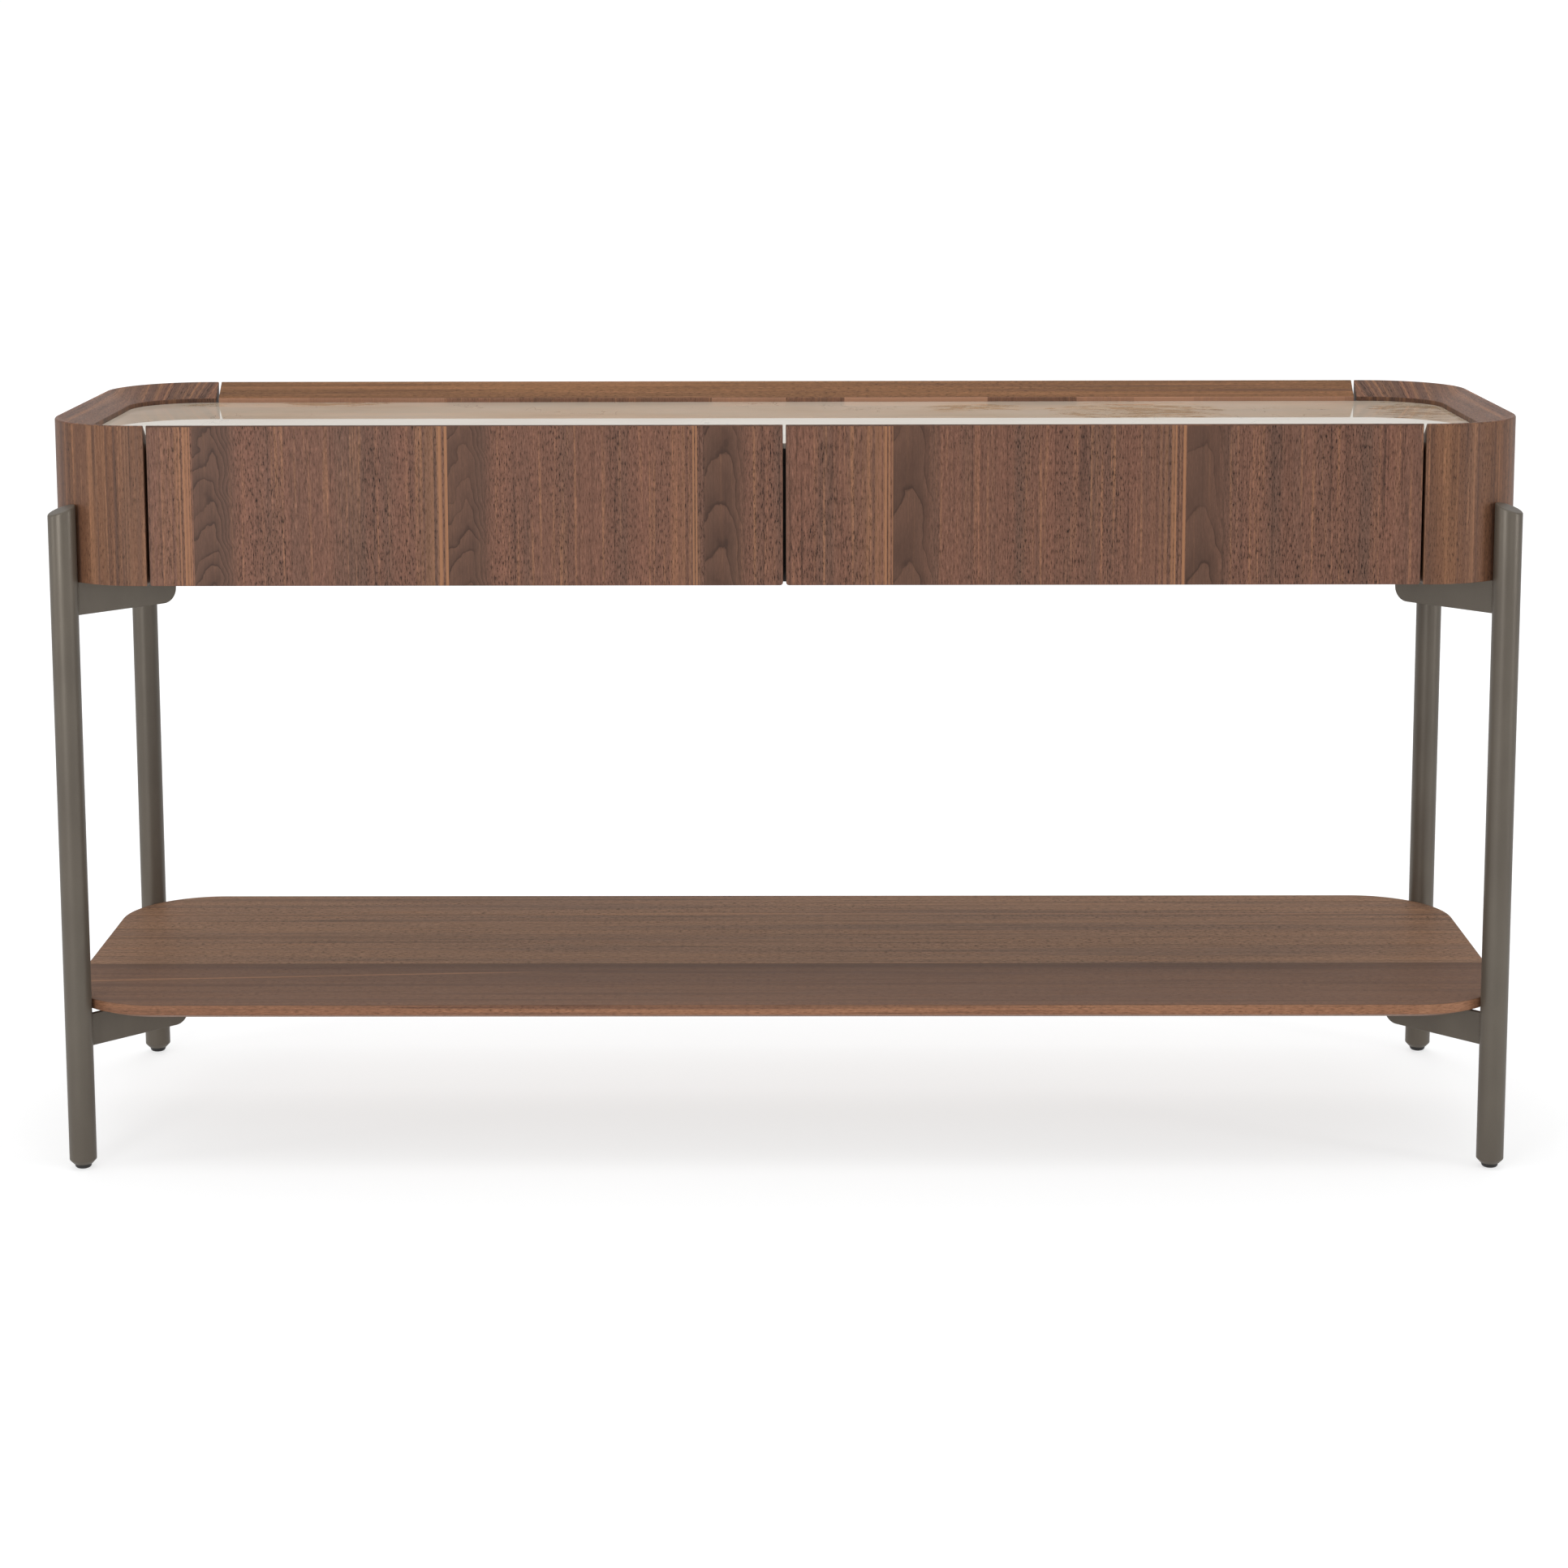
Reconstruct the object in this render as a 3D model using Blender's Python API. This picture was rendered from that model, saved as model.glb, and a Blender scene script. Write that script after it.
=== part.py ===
"""Console table: walnut body with two push-open drawers, a recessed stone top,
four round metal legs outside the rounded corners, and a lower shelf.

Frame: metres, +Z up, +X to the table's right, -Y to its front.  The origin is
on the floor under the middle of the table.
"""

import math

import bmesh
import bpy
from mathutils import Vector

# ---- Driving dimensions (metres) --------------------------------------------
TABLE_WIDTH = 1.500
TABLE_DEPTH = 0.450
TABLE_HEIGHT = 0.778
BODY_BOTTOM = 0.615
CORNER_RADIUS = 0.100
FIT_GAP = 0.0003            # left between solids that touch on the real table

# Rim: one section runs round the end shells, the back rail and the fronts.
RIM_THICKNESS = 0.024
RIM_EDGE = 0.0015           # small bevel on the outer top edge
RIM_FALL = 0.017            # drop of the sloping face towards the stone
STONE_BELOW_RIM = 0.0215
SHELL_RETURN = 0.1075       # from the table's side to the end of the shell

# Stone and carcass
STONE_THICKNESS = 0.006
PANEL = 0.016
FRONT_THICKNESS = 0.020
REVEAL = 0.003              # gap beside and between the drawer fronts

# Drawers
SLIDE_SPACE = 0.0127        # room for one runner between carcass and drawer
BOX_WALL = 0.012
BOX_HEIGHT = 0.080
BOX_BOTTOM_Z = 0.642
BOX_BACK_Y = 0.155
FLOOR_THICKNESS = 0.006
FLOOR_RISE = 0.002

# Runners: three nested steel channels
RAIL_STEEL = 0.0012
RAIL_LENGTH = 0.350
RAIL_Z = 0.672

# Push latches
LATCH_SIZE = 0.024
LATCH_LENGTH = 0.0347
LATCH_Z = 0.652
PIN_RADIUS = 0.0042
PIN_BORE_RADIUS = 0.0045
PIN_LENGTH = 0.030
PIN_CLEARANCE = 0.0005
PIN_BORE_DEPTH = 0.029

# Legs
LEG_RADIUS = 0.014
LEG_WALL = 0.002
LEG_TOP_Z = 0.6905          # on the leg's own axis
LEG_CUT_SLOPE_X = 0.30      # the cut falls outwards by this much per metre
LEG_CUT_SLOPE_Y = 0.17
LEG_CAP = 0.003
LEG_END_Z = 0.0125          # top of the end plug's flange

# Brackets: upright plates with a screwed flange, at 45 degrees in plan
BRACKET_HEIGHT = 0.034
BRACKET_PLATE = 0.005
BRACKET_REACH = 0.134       # from the leg's axis to the plate's inner end
BRACKET_ROUND = 0.015
FLANGE_START = 0.050
FLANGE_END = 0.116
FLANGE_WIDTH = 0.024
FLANGE_THICKNESS = 0.003

# Shelf
SHELF_TOP = 0.179
SHELF_EDGE = 0.0105
SHELF_THICKNESS = 0.0165
SHELF_UNDERCUT = 0.015

ARC_STEPS = 12
ROUND_SIDES = 24

# ---- Places worked out from them ---------------------------------------------
HALF_W = TABLE_WIDTH / 2
HALF_D = TABLE_DEPTH / 2
STONE_Z = TABLE_HEIGHT - STONE_BELOW_RIM
TOP_PANEL_Z = STONE_Z - STONE_THICKNESS - FIT_GAP
CARCASS_TOP_Z = TOP_PANEL_Z - PANEL
SHELL_END_X = HALF_W - SHELL_RETURN
FRONT_END_X = SHELL_END_X - REVEAL
SIDE_OUTER_X = FRONT_END_X + FIT_GAP
SIDE_INNER_X = SIDE_OUTER_X - PANEL
INNER_INSET = RIM_THICKNESS + FIT_GAP
CARCASS_Y = HALF_D - INNER_INSET
FRONT_BACK_Y = -HALF_D + FRONT_THICKNESS
BOX_FRONT_Y = FRONT_BACK_Y + FIT_GAP
RAIL_FRONT_Y = BOX_BACK_Y - RAIL_LENGTH
CORNER_REACH = (CORNER_RADIUS + FIT_GAP + LEG_RADIUS) * math.sqrt(0.5)
LEG_X = HALF_W - CORNER_RADIUS + CORNER_REACH
LEG_Y = HALF_D - CORNER_RADIUS + CORNER_REACH

CORNERS = {
    "front_left": (-1, -1),
    "front_right": (1, -1),
    "back_left": (-1, 1),
    "back_right": (1, 1),
}
SIDES = {"left": -1, "right": 1}


# ---- Materials ----------------------------------------------------------------
def make_material(name, colour, roughness, metallic):
    material = bpy.data.materials.new(name)
    material.use_nodes = True
    shader = material.node_tree.nodes["Principled BSDF"]
    shader.inputs["Base Color"].default_value = (*colour, 1.0)
    shader.inputs["Roughness"].default_value = roughness
    shader.inputs["Metallic"].default_value = metallic
    material.diffuse_color = (*colour, 1.0)
    return material


def walnut():
    return make_material("walnut", (0.17, 0.095, 0.06), 0.45, 0.0)


def cream_stone():
    return make_material("cream_stone", (0.78, 0.74, 0.66), 0.06, 0.0)


def bronze_paint():
    return make_material("bronze_paint", (0.105, 0.095, 0.08), 0.38, 0.6)


def carcass_board():
    return make_material("carcass_board", (0.025, 0.022, 0.02), 0.6, 0.0)


def drawer_board():
    return make_material("drawer_board", (0.2, 0.12, 0.075), 0.5, 0.0)


def zinc_steel():
    return make_material("zinc_steel", (0.55, 0.56, 0.58), 0.3, 1.0)


def black_plastic():
    return make_material("black_plastic", (0.012, 0.012, 0.012), 0.4, 0.0)


# ---- Shape helpers ---------------------------------------------------------------
def finish_object(name, bm, material, location, turn=0.0, smooth=False):
    """Make a mesh object from bm, placed at location and turned about Z."""
    bmesh.ops.recalc_face_normals(bm, faces=bm.faces)
    mesh = bpy.data.meshes.new(name)
    bm.to_mesh(mesh)
    bm.free()
    if smooth:
        mesh.shade_smooth()
        mesh.set_sharp_from_angle(angle=math.radians(35))
    mesh.materials.append(material)
    item = bpy.data.objects.new(name, mesh)
    item.location = location
    item.rotation_euler = (0.0, 0.0, turn)
    bpy.context.scene.collection.objects.link(item)
    return item


def add_box(name, low, high, material):
    """Make a rectangular board between two world corners."""
    low = Vector(low)
    high = Vector(high)
    bm = bmesh.new()
    bmesh.ops.create_cube(bm, size=1.0)
    bmesh.ops.scale(bm, vec=high - low, verts=bm.verts)
    return finish_object(name, bm, material, (low + high) / 2)


def add_rings(bm, rings, closed=False):
    """Skin a list of equal point rings; cap both ends unless it closes on itself."""
    loops = [[bm.verts.new(point) for point in ring] for ring in rings]
    pairs = list(zip(loops, loops[1:]))
    if closed:
        pairs.append((loops[-1], loops[0]))
    for first, second in pairs:
        for i in range(len(first)):
            j = (i + 1) % len(first)
            bm.faces.new((first[i], first[j], second[j], second[i]))
    if not closed:
        bm.faces.new(loops[0])
        bm.faces.new(loops[-1])


def circle(radius, z):
    """Points of a level circle about the local Z axis."""
    step = math.tau / ROUND_SIDES
    return [Vector((radius * math.cos(i * step), radius * math.sin(i * step), z))
            for i in range(ROUND_SIDES)]


def rounded_plan(inset):
    """The table's plan outline, anticlockwise, moved inwards by inset."""
    radius = CORNER_RADIUS - inset
    points = []
    for sx, sy, start in ((1, -1, -90), (1, 1, 0), (-1, 1, 90), (-1, -1, 180)):
        for i in range(ARC_STEPS + 1):
            angle = math.radians(start + 90 * i / ARC_STEPS)
            x = sx * (HALF_W - CORNER_RADIUS) + radius * math.cos(angle)
            y = sy * (HALF_D - CORNER_RADIUS) + radius * math.sin(angle)
            points.append((x, y))
    return points


def add_plan_slab(name, levels, material):
    """Make a slab from (inset, z) levels of the table's plan outline."""
    base = levels[0][1]
    rings = [[Vector((x, y, z - base)) for x, y in rounded_plan(inset)]
             for inset, z in levels]
    bm = bmesh.new()
    add_rings(bm, rings)
    return finish_object(name, bm, material, (0.0, 0.0, base))


def rim_section(thickness):
    """Section of the rim as (inwards, height) points, from the outer foot up."""
    run = RIM_THICKNESS - RIM_EDGE
    fall = RIM_FALL * (thickness - RIM_EDGE) / run
    height = TABLE_HEIGHT - BODY_BOTTOM
    return [
        (0.0, 0.0),
        (0.0, height - RIM_EDGE),
        (RIM_EDGE, height),
        (thickness, height - fall),
        (thickness, 0.0),
    ]


# ---- Body ---------------------------------------------------------------------------
def end_path(side):
    """Points and outward normals round one end, from front to back."""
    path = [(side * SHELL_END_X, -HALF_D, 0.0, -1.0)]
    for sy, start in ((-1, -90), (1, 0)):
        for i in range(ARC_STEPS + 1):
            angle = math.radians(start + 90 * i / ARC_STEPS)
            nx = side * math.cos(angle)
            ny = math.sin(angle)
            x = side * (HALF_W - CORNER_RADIUS) + CORNER_RADIUS * nx
            y = sy * (HALF_D - CORNER_RADIUS) + CORNER_RADIUS * ny
            path.append((x, y, nx, ny))
    path.append((side * SHELL_END_X, HALF_D, 0.0, 1.0))
    return path


def add_end_shell(word, side, material):
    """U-shaped end of the body: front return, side and back return."""
    centre_x = side * HALF_W
    rings = []
    for x, y, nx, ny in end_path(side):
        rings.append([Vector((x - nx * inward - centre_x, y - ny * inward, height))
                      for inward, height in rim_section(RIM_THICKNESS)])
    bm = bmesh.new()
    add_rings(bm, rings)
    finish_object(f"end_shell_{word}", bm, material, (centre_x, 0.0, BODY_BOTTOM))


def add_straight_rim(name, start_x, end_x, outer_y, facing, thickness, material):
    """A straight length of rim section: the back rail or a drawer front."""
    half = (end_x - start_x) / 2
    rings = []
    for x in (-half, half):
        rings.append([Vector((x, -facing * inward, height))
                      for inward, height in rim_section(thickness)])
    bm = bmesh.new()
    add_rings(bm, rings)
    location = ((start_x + end_x) / 2, outer_y, BODY_BOTTOM)
    return finish_object(name, bm, material, location)


def add_body():
    wood = walnut()
    board = carcass_board()
    for word, side in SIDES.items():
        add_end_shell(word, side, wood)
    add_straight_rim("back_rail", -FRONT_END_X, FRONT_END_X, HALF_D, 1, RIM_THICKNESS, wood)
    stone_levels = [(INNER_INSET, STONE_Z - STONE_THICKNESS), (INNER_INSET, STONE_Z)]
    add_plan_slab("stone_top", stone_levels, cream_stone())
    top_levels = [(INNER_INSET, CARCASS_TOP_Z), (INNER_INSET, TOP_PANEL_Z)]
    add_plan_slab("top_panel", top_levels, board)
    bottom_levels = [(INNER_INSET, BODY_BOTTOM), (INNER_INSET, BODY_BOTTOM + PANEL)]
    add_plan_slab("bottom_panel", bottom_levels, board)
    low_z = BODY_BOTTOM + PANEL + FIT_GAP
    high_z = CARCASS_TOP_Z - FIT_GAP
    for word, side in SIDES.items():
        xs = sorted((side * SIDE_INNER_X, side * SIDE_OUTER_X))
        add_box(f"carcass_side_{word}", (xs[0], -CARCASS_Y, low_z), (xs[1], CARCASS_Y, high_z), board)
    half = PANEL / 2
    add_box("centre_divider", (-half, -CARCASS_Y, low_z), (half, CARCASS_Y, high_z), board)


# ---- Drawers, runners and latches ---------------------------------------------------
def add_drawer(word, side):
    """Front and four boards of one drawer box."""
    wood = walnut()
    board = drawer_board()
    name = f"{word}_drawer"
    xs = sorted((side * REVEAL / 2, side * FRONT_END_X))
    add_straight_rim(f"{name}_front", xs[0], xs[1], -HALF_D, -1, FRONT_THICKNESS, wood)
    inner_x = PANEL / 2 + SLIDE_SPACE
    outer_x = SIDE_INNER_X - SLIDE_SPACE
    low_z = BOX_BOTTOM_Z
    high_z = BOX_BOTTOM_Z + BOX_HEIGHT
    walls = {
        "inner_side": (inner_x, inner_x + BOX_WALL),
        "outer_side": (outer_x - BOX_WALL, outer_x),
    }
    for wall, span in walls.items():
        xs = sorted(side * x for x in span)
        add_box(f"{name}_{wall}", (xs[0], BOX_FRONT_Y, low_z), (xs[1], BOX_BACK_Y, high_z), board)
    xs = sorted((side * (inner_x + BOX_WALL + FIT_GAP), side * (outer_x - BOX_WALL - FIT_GAP)))
    back_y = BOX_BACK_Y - BOX_WALL
    add_box(f"{name}_back", (xs[0], back_y, low_z), (xs[1], BOX_BACK_Y, high_z), board)
    floor_z = low_z + FLOOR_RISE
    add_box(f"{name}_bottom", (xs[0], BOX_FRONT_Y, floor_z),
            (xs[1], back_y - FIT_GAP, floor_z + FLOOR_THICKNESS), board)


def channel(web, lip, half_height):
    """Section of a channel as (across, up) points: web at one end, lips to the other."""
    step = RAIL_STEEL if lip > web else -RAIL_STEEL
    inner = half_height - RAIL_STEEL
    return [
        (web, -half_height), (lip, -half_height), (lip, -inner), (web + step, -inner),
        (web + step, inner), (lip, inner), (lip, half_height), (web, half_height),
    ]


RAIL_SECTIONS = {
    "cabinet_rail": channel(FIT_GAP, 0.0115, 0.0225),
    "middle_rail": channel(0.0030, 0.0105, 0.0190),
    "drawer_rail": channel(SLIDE_SPACE - FIT_GAP, 0.0060, 0.0150),
}


def add_runner(name, face_x, inward, material):
    """Three nested rails on the carcass face at face_x, facing inward (+1 or -1)."""
    for rail, section in RAIL_SECTIONS.items():
        rings = [[Vector((inward * across, y, up)) for across, up in section]
                 for y in (0.0, RAIL_LENGTH)]
        bm = bmesh.new()
        add_rings(bm, rings)
        finish_object(f"{name}_{rail}", bm, material, (face_x, RAIL_FRONT_Y, RAIL_Z))


def add_latch_housing(name, centre_x, material):
    """Square latch body with a round blind bore in its front."""
    rear_y = HALF_D - INNER_INSET
    front_y = rear_y - LATCH_LENGTH
    corner = LATCH_SIZE / 2
    bore = [Vector((p.x, 0.0, p.y)) for p in circle(PIN_BORE_RADIUS, 0.0)]
    frame = []
    for point in bore:
        reach = corner / max(abs(point.x), abs(point.z))
        frame.append(Vector((point.x * reach, 0.0, point.z * reach)))
    shift = Vector((0.0, LATCH_LENGTH, 0.0))
    depth = Vector((0.0, PIN_BORE_DEPTH, 0.0))
    rings = [[p + shift for p in frame], frame, bore, [p + depth for p in bore]]
    bm = bmesh.new()
    add_rings(bm, rings)
    finish_object(name, bm, material, (centre_x, front_y, LATCH_Z))


def add_latch_pin(name, centre_x, material):
    """Round push pin with a small tip bevel; its origin is on its own axis."""
    bevel = 0.0008
    levels = [(PIN_RADIUS - bevel, 0.0), (PIN_RADIUS, bevel), (PIN_RADIUS, PIN_LENGTH)]
    rings = [[Vector((p.x, along, p.y)) for p in circle(radius, 0.0)]
             for radius, along in levels]
    bm = bmesh.new()
    add_rings(bm, rings)
    location = (centre_x, BOX_BACK_Y + PIN_CLEARANCE, LATCH_Z)
    finish_object(name, bm, material, location, smooth=True)


def add_drawers():
    steel = zinc_steel()
    plastic = black_plastic()
    for word, side in SIDES.items():
        add_drawer(word, side)
        add_runner(f"{word}_inner_runner", side * PANEL / 2, side, steel)
        add_runner(f"{word}_outer_runner", side * SIDE_INNER_X, -side, steel)
        centre_x = side * (PANEL / 2 + SIDE_INNER_X) / 2
        add_latch_housing(f"{word}_latch_housing", centre_x, plastic)
        add_latch_pin(f"{word}_latch_pin", centre_x, plastic)


# ---- Legs, feet and brackets ---------------------------------------------------------
def add_leg(corner, sx, sy, material):
    """Round tube, open at the foot, its closed top cut to fall outwards."""
    foot = LEG_END_Z + FIT_GAP

    def cut(point, drop):
        fall = sx * LEG_CUT_SLOPE_X * point.x + sy * LEG_CUT_SLOPE_Y * point.y
        return Vector((point.x, point.y, LEG_TOP_Z - foot - drop - fall))

    outer = circle(LEG_RADIUS, 0.0)
    inner = circle(LEG_RADIUS - LEG_WALL, 0.0)
    rings = [[cut(p, 0.0) for p in outer], outer, inner, [cut(p, LEG_CAP) for p in inner]]
    bm = bmesh.new()
    add_rings(bm, rings)
    location = (sx * LEG_X, sy * LEG_Y, foot)
    finish_object(f"leg_{corner}", bm, material, location, smooth=True)


# Turned sections as (radius, height above the floor) points.
END_PLUG_SECTION = [
    (0.00975, 0.0050), (LEG_RADIUS, 0.0095), (LEG_RADIUS, LEG_END_Z),
    (0.0117, LEG_END_Z), (0.0117, 0.0400), (0.0044, 0.0400), (0.0044, 0.0110),
    (0.0091, 0.0110), (0.0091, 0.0050),
]
GLIDE_SECTION = [
    (0.0060, 0.0), (0.0080, 0.0008), (0.00875, 0.0030), (0.00875, 0.0105),
    (0.0040, 0.0105), (0.0040, 0.0360),
]


def add_leg_end(corner, sx, sy, material):
    """End plug: a bevelled flange under the tube, a spigot in it, and the glide's bore."""
    rings = [circle(radius, z) for radius, z in END_PLUG_SECTION]
    bm = bmesh.new()
    add_rings(bm, rings, closed=True)
    location = (sx * LEG_X, sy * LEG_Y, 0.0)
    finish_object(f"leg_end_{corner}", bm, material, location, smooth=True)


def add_glide(corner, sx, sy, material):
    """Levelling glide: a round pad on a stud that screws into the end plug."""
    rings = [circle(radius, z) for radius, z in GLIDE_SECTION]
    bm = bmesh.new()
    add_rings(bm, rings)
    location = (sx * LEG_X, sy * LEG_Y, 0.0)
    finish_object(f"levelling_glide_{corner}", bm, material, location, smooth=True)


def bracket_outline(start):
    """Plate outline as (along, up) points; the last four lie along the flange's notch."""
    centre_s = BRACKET_REACH - BRACKET_ROUND
    centre_h = -BRACKET_HEIGHT + BRACKET_ROUND
    points = [(FLANGE_START, 0.0), (start, 0.0), (start, -BRACKET_HEIGHT)]
    for i in range(ARC_STEPS // 2 + 1):
        angle = math.radians(-90 + 90 * i / (ARC_STEPS // 2))
        points.append((centre_s + BRACKET_ROUND * math.cos(angle),
                       centre_h + BRACKET_ROUND * math.sin(angle)))
    points.append((BRACKET_REACH, 0.0))
    points.append((FLANGE_END, 0.0))
    return points


def add_bracket(name, sx, sy, top_z, material):
    """Upright plate from the leg towards the middle, with a flange to screw through."""
    start = LEG_RADIUS + FIT_GAP
    side = sx * sy
    half = BRACKET_PLATE / 2
    outline = bracket_outline(start)
    bm = bmesh.new()
    near = [bm.verts.new((s, -side * half, h)) for s, h in outline]
    far = [bm.verts.new((s, side * half, h)) for s, h in outline]
    notch = [bm.verts.new((s, side * half, -FLANGE_THICKNESS)) for s in (FLANGE_END, FLANGE_START)]
    rim = [bm.verts.new((s, side * (half + FLANGE_WIDTH), h)) for s, h in (
        (FLANGE_START, 0.0), (FLANGE_END, 0.0),
        (FLANGE_END, -FLANGE_THICKNESS), (FLANGE_START, -FLANGE_THICKNESS))]
    bm.faces.new(near)
    bm.faces.new(far + notch)
    for i in range(len(outline)):
        j = (i + 1) % len(outline)
        bm.faces.new((near[i], near[j], far[j], far[i]))
    bm.faces.new((far[-1], far[0], rim[0], rim[1]))
    bm.faces.new((far[-1], rim[1], rim[2], notch[0]))
    bm.faces.new((notch[0], rim[2], rim[3], notch[1]))
    bm.faces.new((notch[1], rim[3], rim[0], far[0]))
    bm.faces.new(rim)
    turn = math.atan2(-sy, -sx)
    finish_object(name, bm, material, (sx * LEG_X, sy * LEG_Y, top_z), turn=turn)


def add_underframe():
    paint = bronze_paint()
    plastic = black_plastic()
    shelf_underside = SHELF_TOP - SHELF_THICKNESS
    for corner, (sx, sy) in CORNERS.items():
        add_leg(corner, sx, sy, paint)
        add_leg_end(corner, sx, sy, paint)
        add_glide(corner, sx, sy, plastic)
        add_bracket(f"upper_bracket_{corner}", sx, sy, BODY_BOTTOM - FIT_GAP, paint)
        add_bracket(f"lower_bracket_{corner}", sx, sy, shelf_underside - FIT_GAP, paint)


def add_shelf():
    """Lower shelf: a thin edge, bevelled back underneath to a thicker middle."""
    levels = [
        (SHELF_UNDERCUT, SHELF_TOP - SHELF_THICKNESS),
        (0.0, SHELF_TOP - SHELF_EDGE),
        (0.0, SHELF_TOP),
    ]
    add_plan_slab("shelf", levels, walnut())


def main():
    for item in list(bpy.data.objects):
        bpy.data.objects.remove(item)
    add_body()
    add_drawers()
    add_underframe()
    add_shelf()


main()
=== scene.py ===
"""Console table: walnut body with two push-open drawers, stone top, metal legs, shelf.

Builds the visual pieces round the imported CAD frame, in metres, +Z up, front to -Y.
"""

import math

import bmesh
import bpy
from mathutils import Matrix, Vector


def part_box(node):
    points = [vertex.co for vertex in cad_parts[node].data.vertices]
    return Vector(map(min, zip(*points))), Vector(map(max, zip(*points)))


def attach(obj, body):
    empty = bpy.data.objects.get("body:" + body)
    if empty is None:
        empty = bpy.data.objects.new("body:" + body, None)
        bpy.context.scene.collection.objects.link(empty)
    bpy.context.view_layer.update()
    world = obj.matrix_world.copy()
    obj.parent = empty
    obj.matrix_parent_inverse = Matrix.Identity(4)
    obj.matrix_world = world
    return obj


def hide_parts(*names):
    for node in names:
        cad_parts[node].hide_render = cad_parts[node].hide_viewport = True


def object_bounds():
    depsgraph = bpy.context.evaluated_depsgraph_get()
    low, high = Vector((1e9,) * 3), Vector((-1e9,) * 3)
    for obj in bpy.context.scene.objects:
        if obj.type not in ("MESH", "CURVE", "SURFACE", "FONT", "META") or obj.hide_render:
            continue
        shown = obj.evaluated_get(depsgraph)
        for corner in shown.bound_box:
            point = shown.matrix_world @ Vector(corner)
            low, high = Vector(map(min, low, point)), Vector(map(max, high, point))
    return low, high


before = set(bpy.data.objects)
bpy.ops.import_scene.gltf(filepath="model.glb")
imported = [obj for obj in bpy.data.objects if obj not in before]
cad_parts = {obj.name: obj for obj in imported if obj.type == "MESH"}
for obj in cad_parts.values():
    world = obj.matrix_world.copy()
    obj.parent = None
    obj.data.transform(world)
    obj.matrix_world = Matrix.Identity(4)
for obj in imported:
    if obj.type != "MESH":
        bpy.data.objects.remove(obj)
CAD_LOW, CAD_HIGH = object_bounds()

# ---- Places read from the CAD ----------------------------------------------
SHELL_LOW, SHELL_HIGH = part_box("end_shell_right")
FRONT_LOW, FRONT_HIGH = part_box("right_drawer_front")
STONE_LOW, STONE_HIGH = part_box("stone_top")
SHELF_LOW, SHELF_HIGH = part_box("shelf")
HALF_W = SHELL_HIGH.x
HALF_D = SHELL_HIGH.y
TOP_Z = SHELL_HIGH.z
BODY_Z = SHELL_LOW.z
SHELL_END_X = SHELL_LOW.x
FRONT_DEPTH = FRONT_HIGH.y - FRONT_LOW.y

# ---- Shape constants shared with the CAD -----------------------------------
CORNER_RADIUS = 0.100
RIM_THICKNESS = 0.024
RIM_EDGE = 0.0015
RIM_FALL = 0.017
SHELF_EDGE = 0.0105
SHELF_UNDERCUT = 0.015
LEG_RADIUS = 0.014
LEG_TOP_Z = 0.6905
LEG_CUT_SLOPE = (0.30, 0.17)
BRACKET_HEIGHT = 0.034
BRACKET_PLATE = 0.005
BRACKET_REACH = 0.134
BRACKET_ROUND = 0.015
FLANGE_START = 0.050
FLANGE_END = 0.116
FLANGE_WIDTH = 0.024
FLANGE_THICKNESS = 0.003
FIT_GAP = 0.0003

# ---- Fine shapes of the visual pieces, with the roundings of their edges first ----
VENEER_SOFT = 0.0008
STONE_SOFT = 0.0008
SHELF_SOFT = 0.0009
BOARD_SOFT = 0.0006
RAIL_SOFT = 0.0005
LATCH_SOFT = 0.0007
PLATE_SOFT = 0.0006
FRONT_CORNER_ROUND = 0.003
WALL_TOP_ROUND = 0.004
LEG_TOP_ROUND = 0.0016

# Points of a full turn, and steps of a quarter turn.
LEG_SIDES = 56
GLIDE_SIDES = 36
PIN_SIDES = 32
SCREW_SIDES = 24
WELD_SIDES = 10
CORNER_STEPS = 32
BRACKET_ROUND_STEPS = 12
LEG_ROUND_STEPS = 5

# Leg from the blind end of its bore, over the socket and the bevel, up: (radius, z).
LEG_PROFILE = (
    (0.0044, 0.0400), (0.0044, 0.0110), (0.0091, 0.0110), (0.0091, 0.0053),
    (0.0094, 0.0050), (0.0097, 0.0050), (0.0101, 0.0052), (LEG_RADIUS - 0.0004, 0.0090),
    (LEG_RADIUS - 0.0001, 0.0095), (LEG_RADIUS, 0.0102), (LEG_RADIUS, 0.1),
    (LEG_RADIUS, 0.35), (LEG_RADIUS, 0.6),
)

# Glide: domed pad, threaded stud and its chamfered tip, (radius, z).
GLIDE_PAD = (
    (0.0, 0.0), (0.0045, 0.0), (0.0060, 0.0002), (0.0072, 0.0007), (0.0081, 0.0016),
    (0.0086, 0.0028), (0.00875, 0.0042), (0.00875, 0.0088), (0.0086, 0.0098),
    (0.0080, 0.0105), (0.0046, 0.0105),
)
GLIDE_TIP = ((0.0035, 0.0352), (0.0030, 0.0360), (0.0, 0.0360))
THREAD_START = 0.0108
THREAD_END = 0.0345
THREAD_PITCH = 0.00125
THREAD_CREST = 0.0040
THREAD_ROOT = 0.0035
THREAD_FLAT = 0.0002
THREAD_FALL = 0.0006

# Latch pin from its nose: (how far inside the full radius, distance from the nose).
PIN_CUTS = (
    (0.0016, 0.0), (0.0007, 0.0003), (0.0001, 0.0011), (0.0, 0.0020), (0.0, 0.0070),
    (0.0005, 0.0073), (0.0005, 0.0082), (0.0, 0.0085),
)

# Screw heads hang under the flange: (radius, drop) from rim to crown, then the hexagon.
SCREW_HEAD = ((0.0044, -0.0001), (0.0044, -0.0008), (0.0040, -0.0017), (0.0031, -0.0023))
SCREW_INSET = 0.014
SCREW_ACROSS = 0.52          # share of the flange's width
HEXAGON_HALF_WIDTH = 0.0017
HEXAGON_DROPS = (-0.0023, -0.0009)

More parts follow.
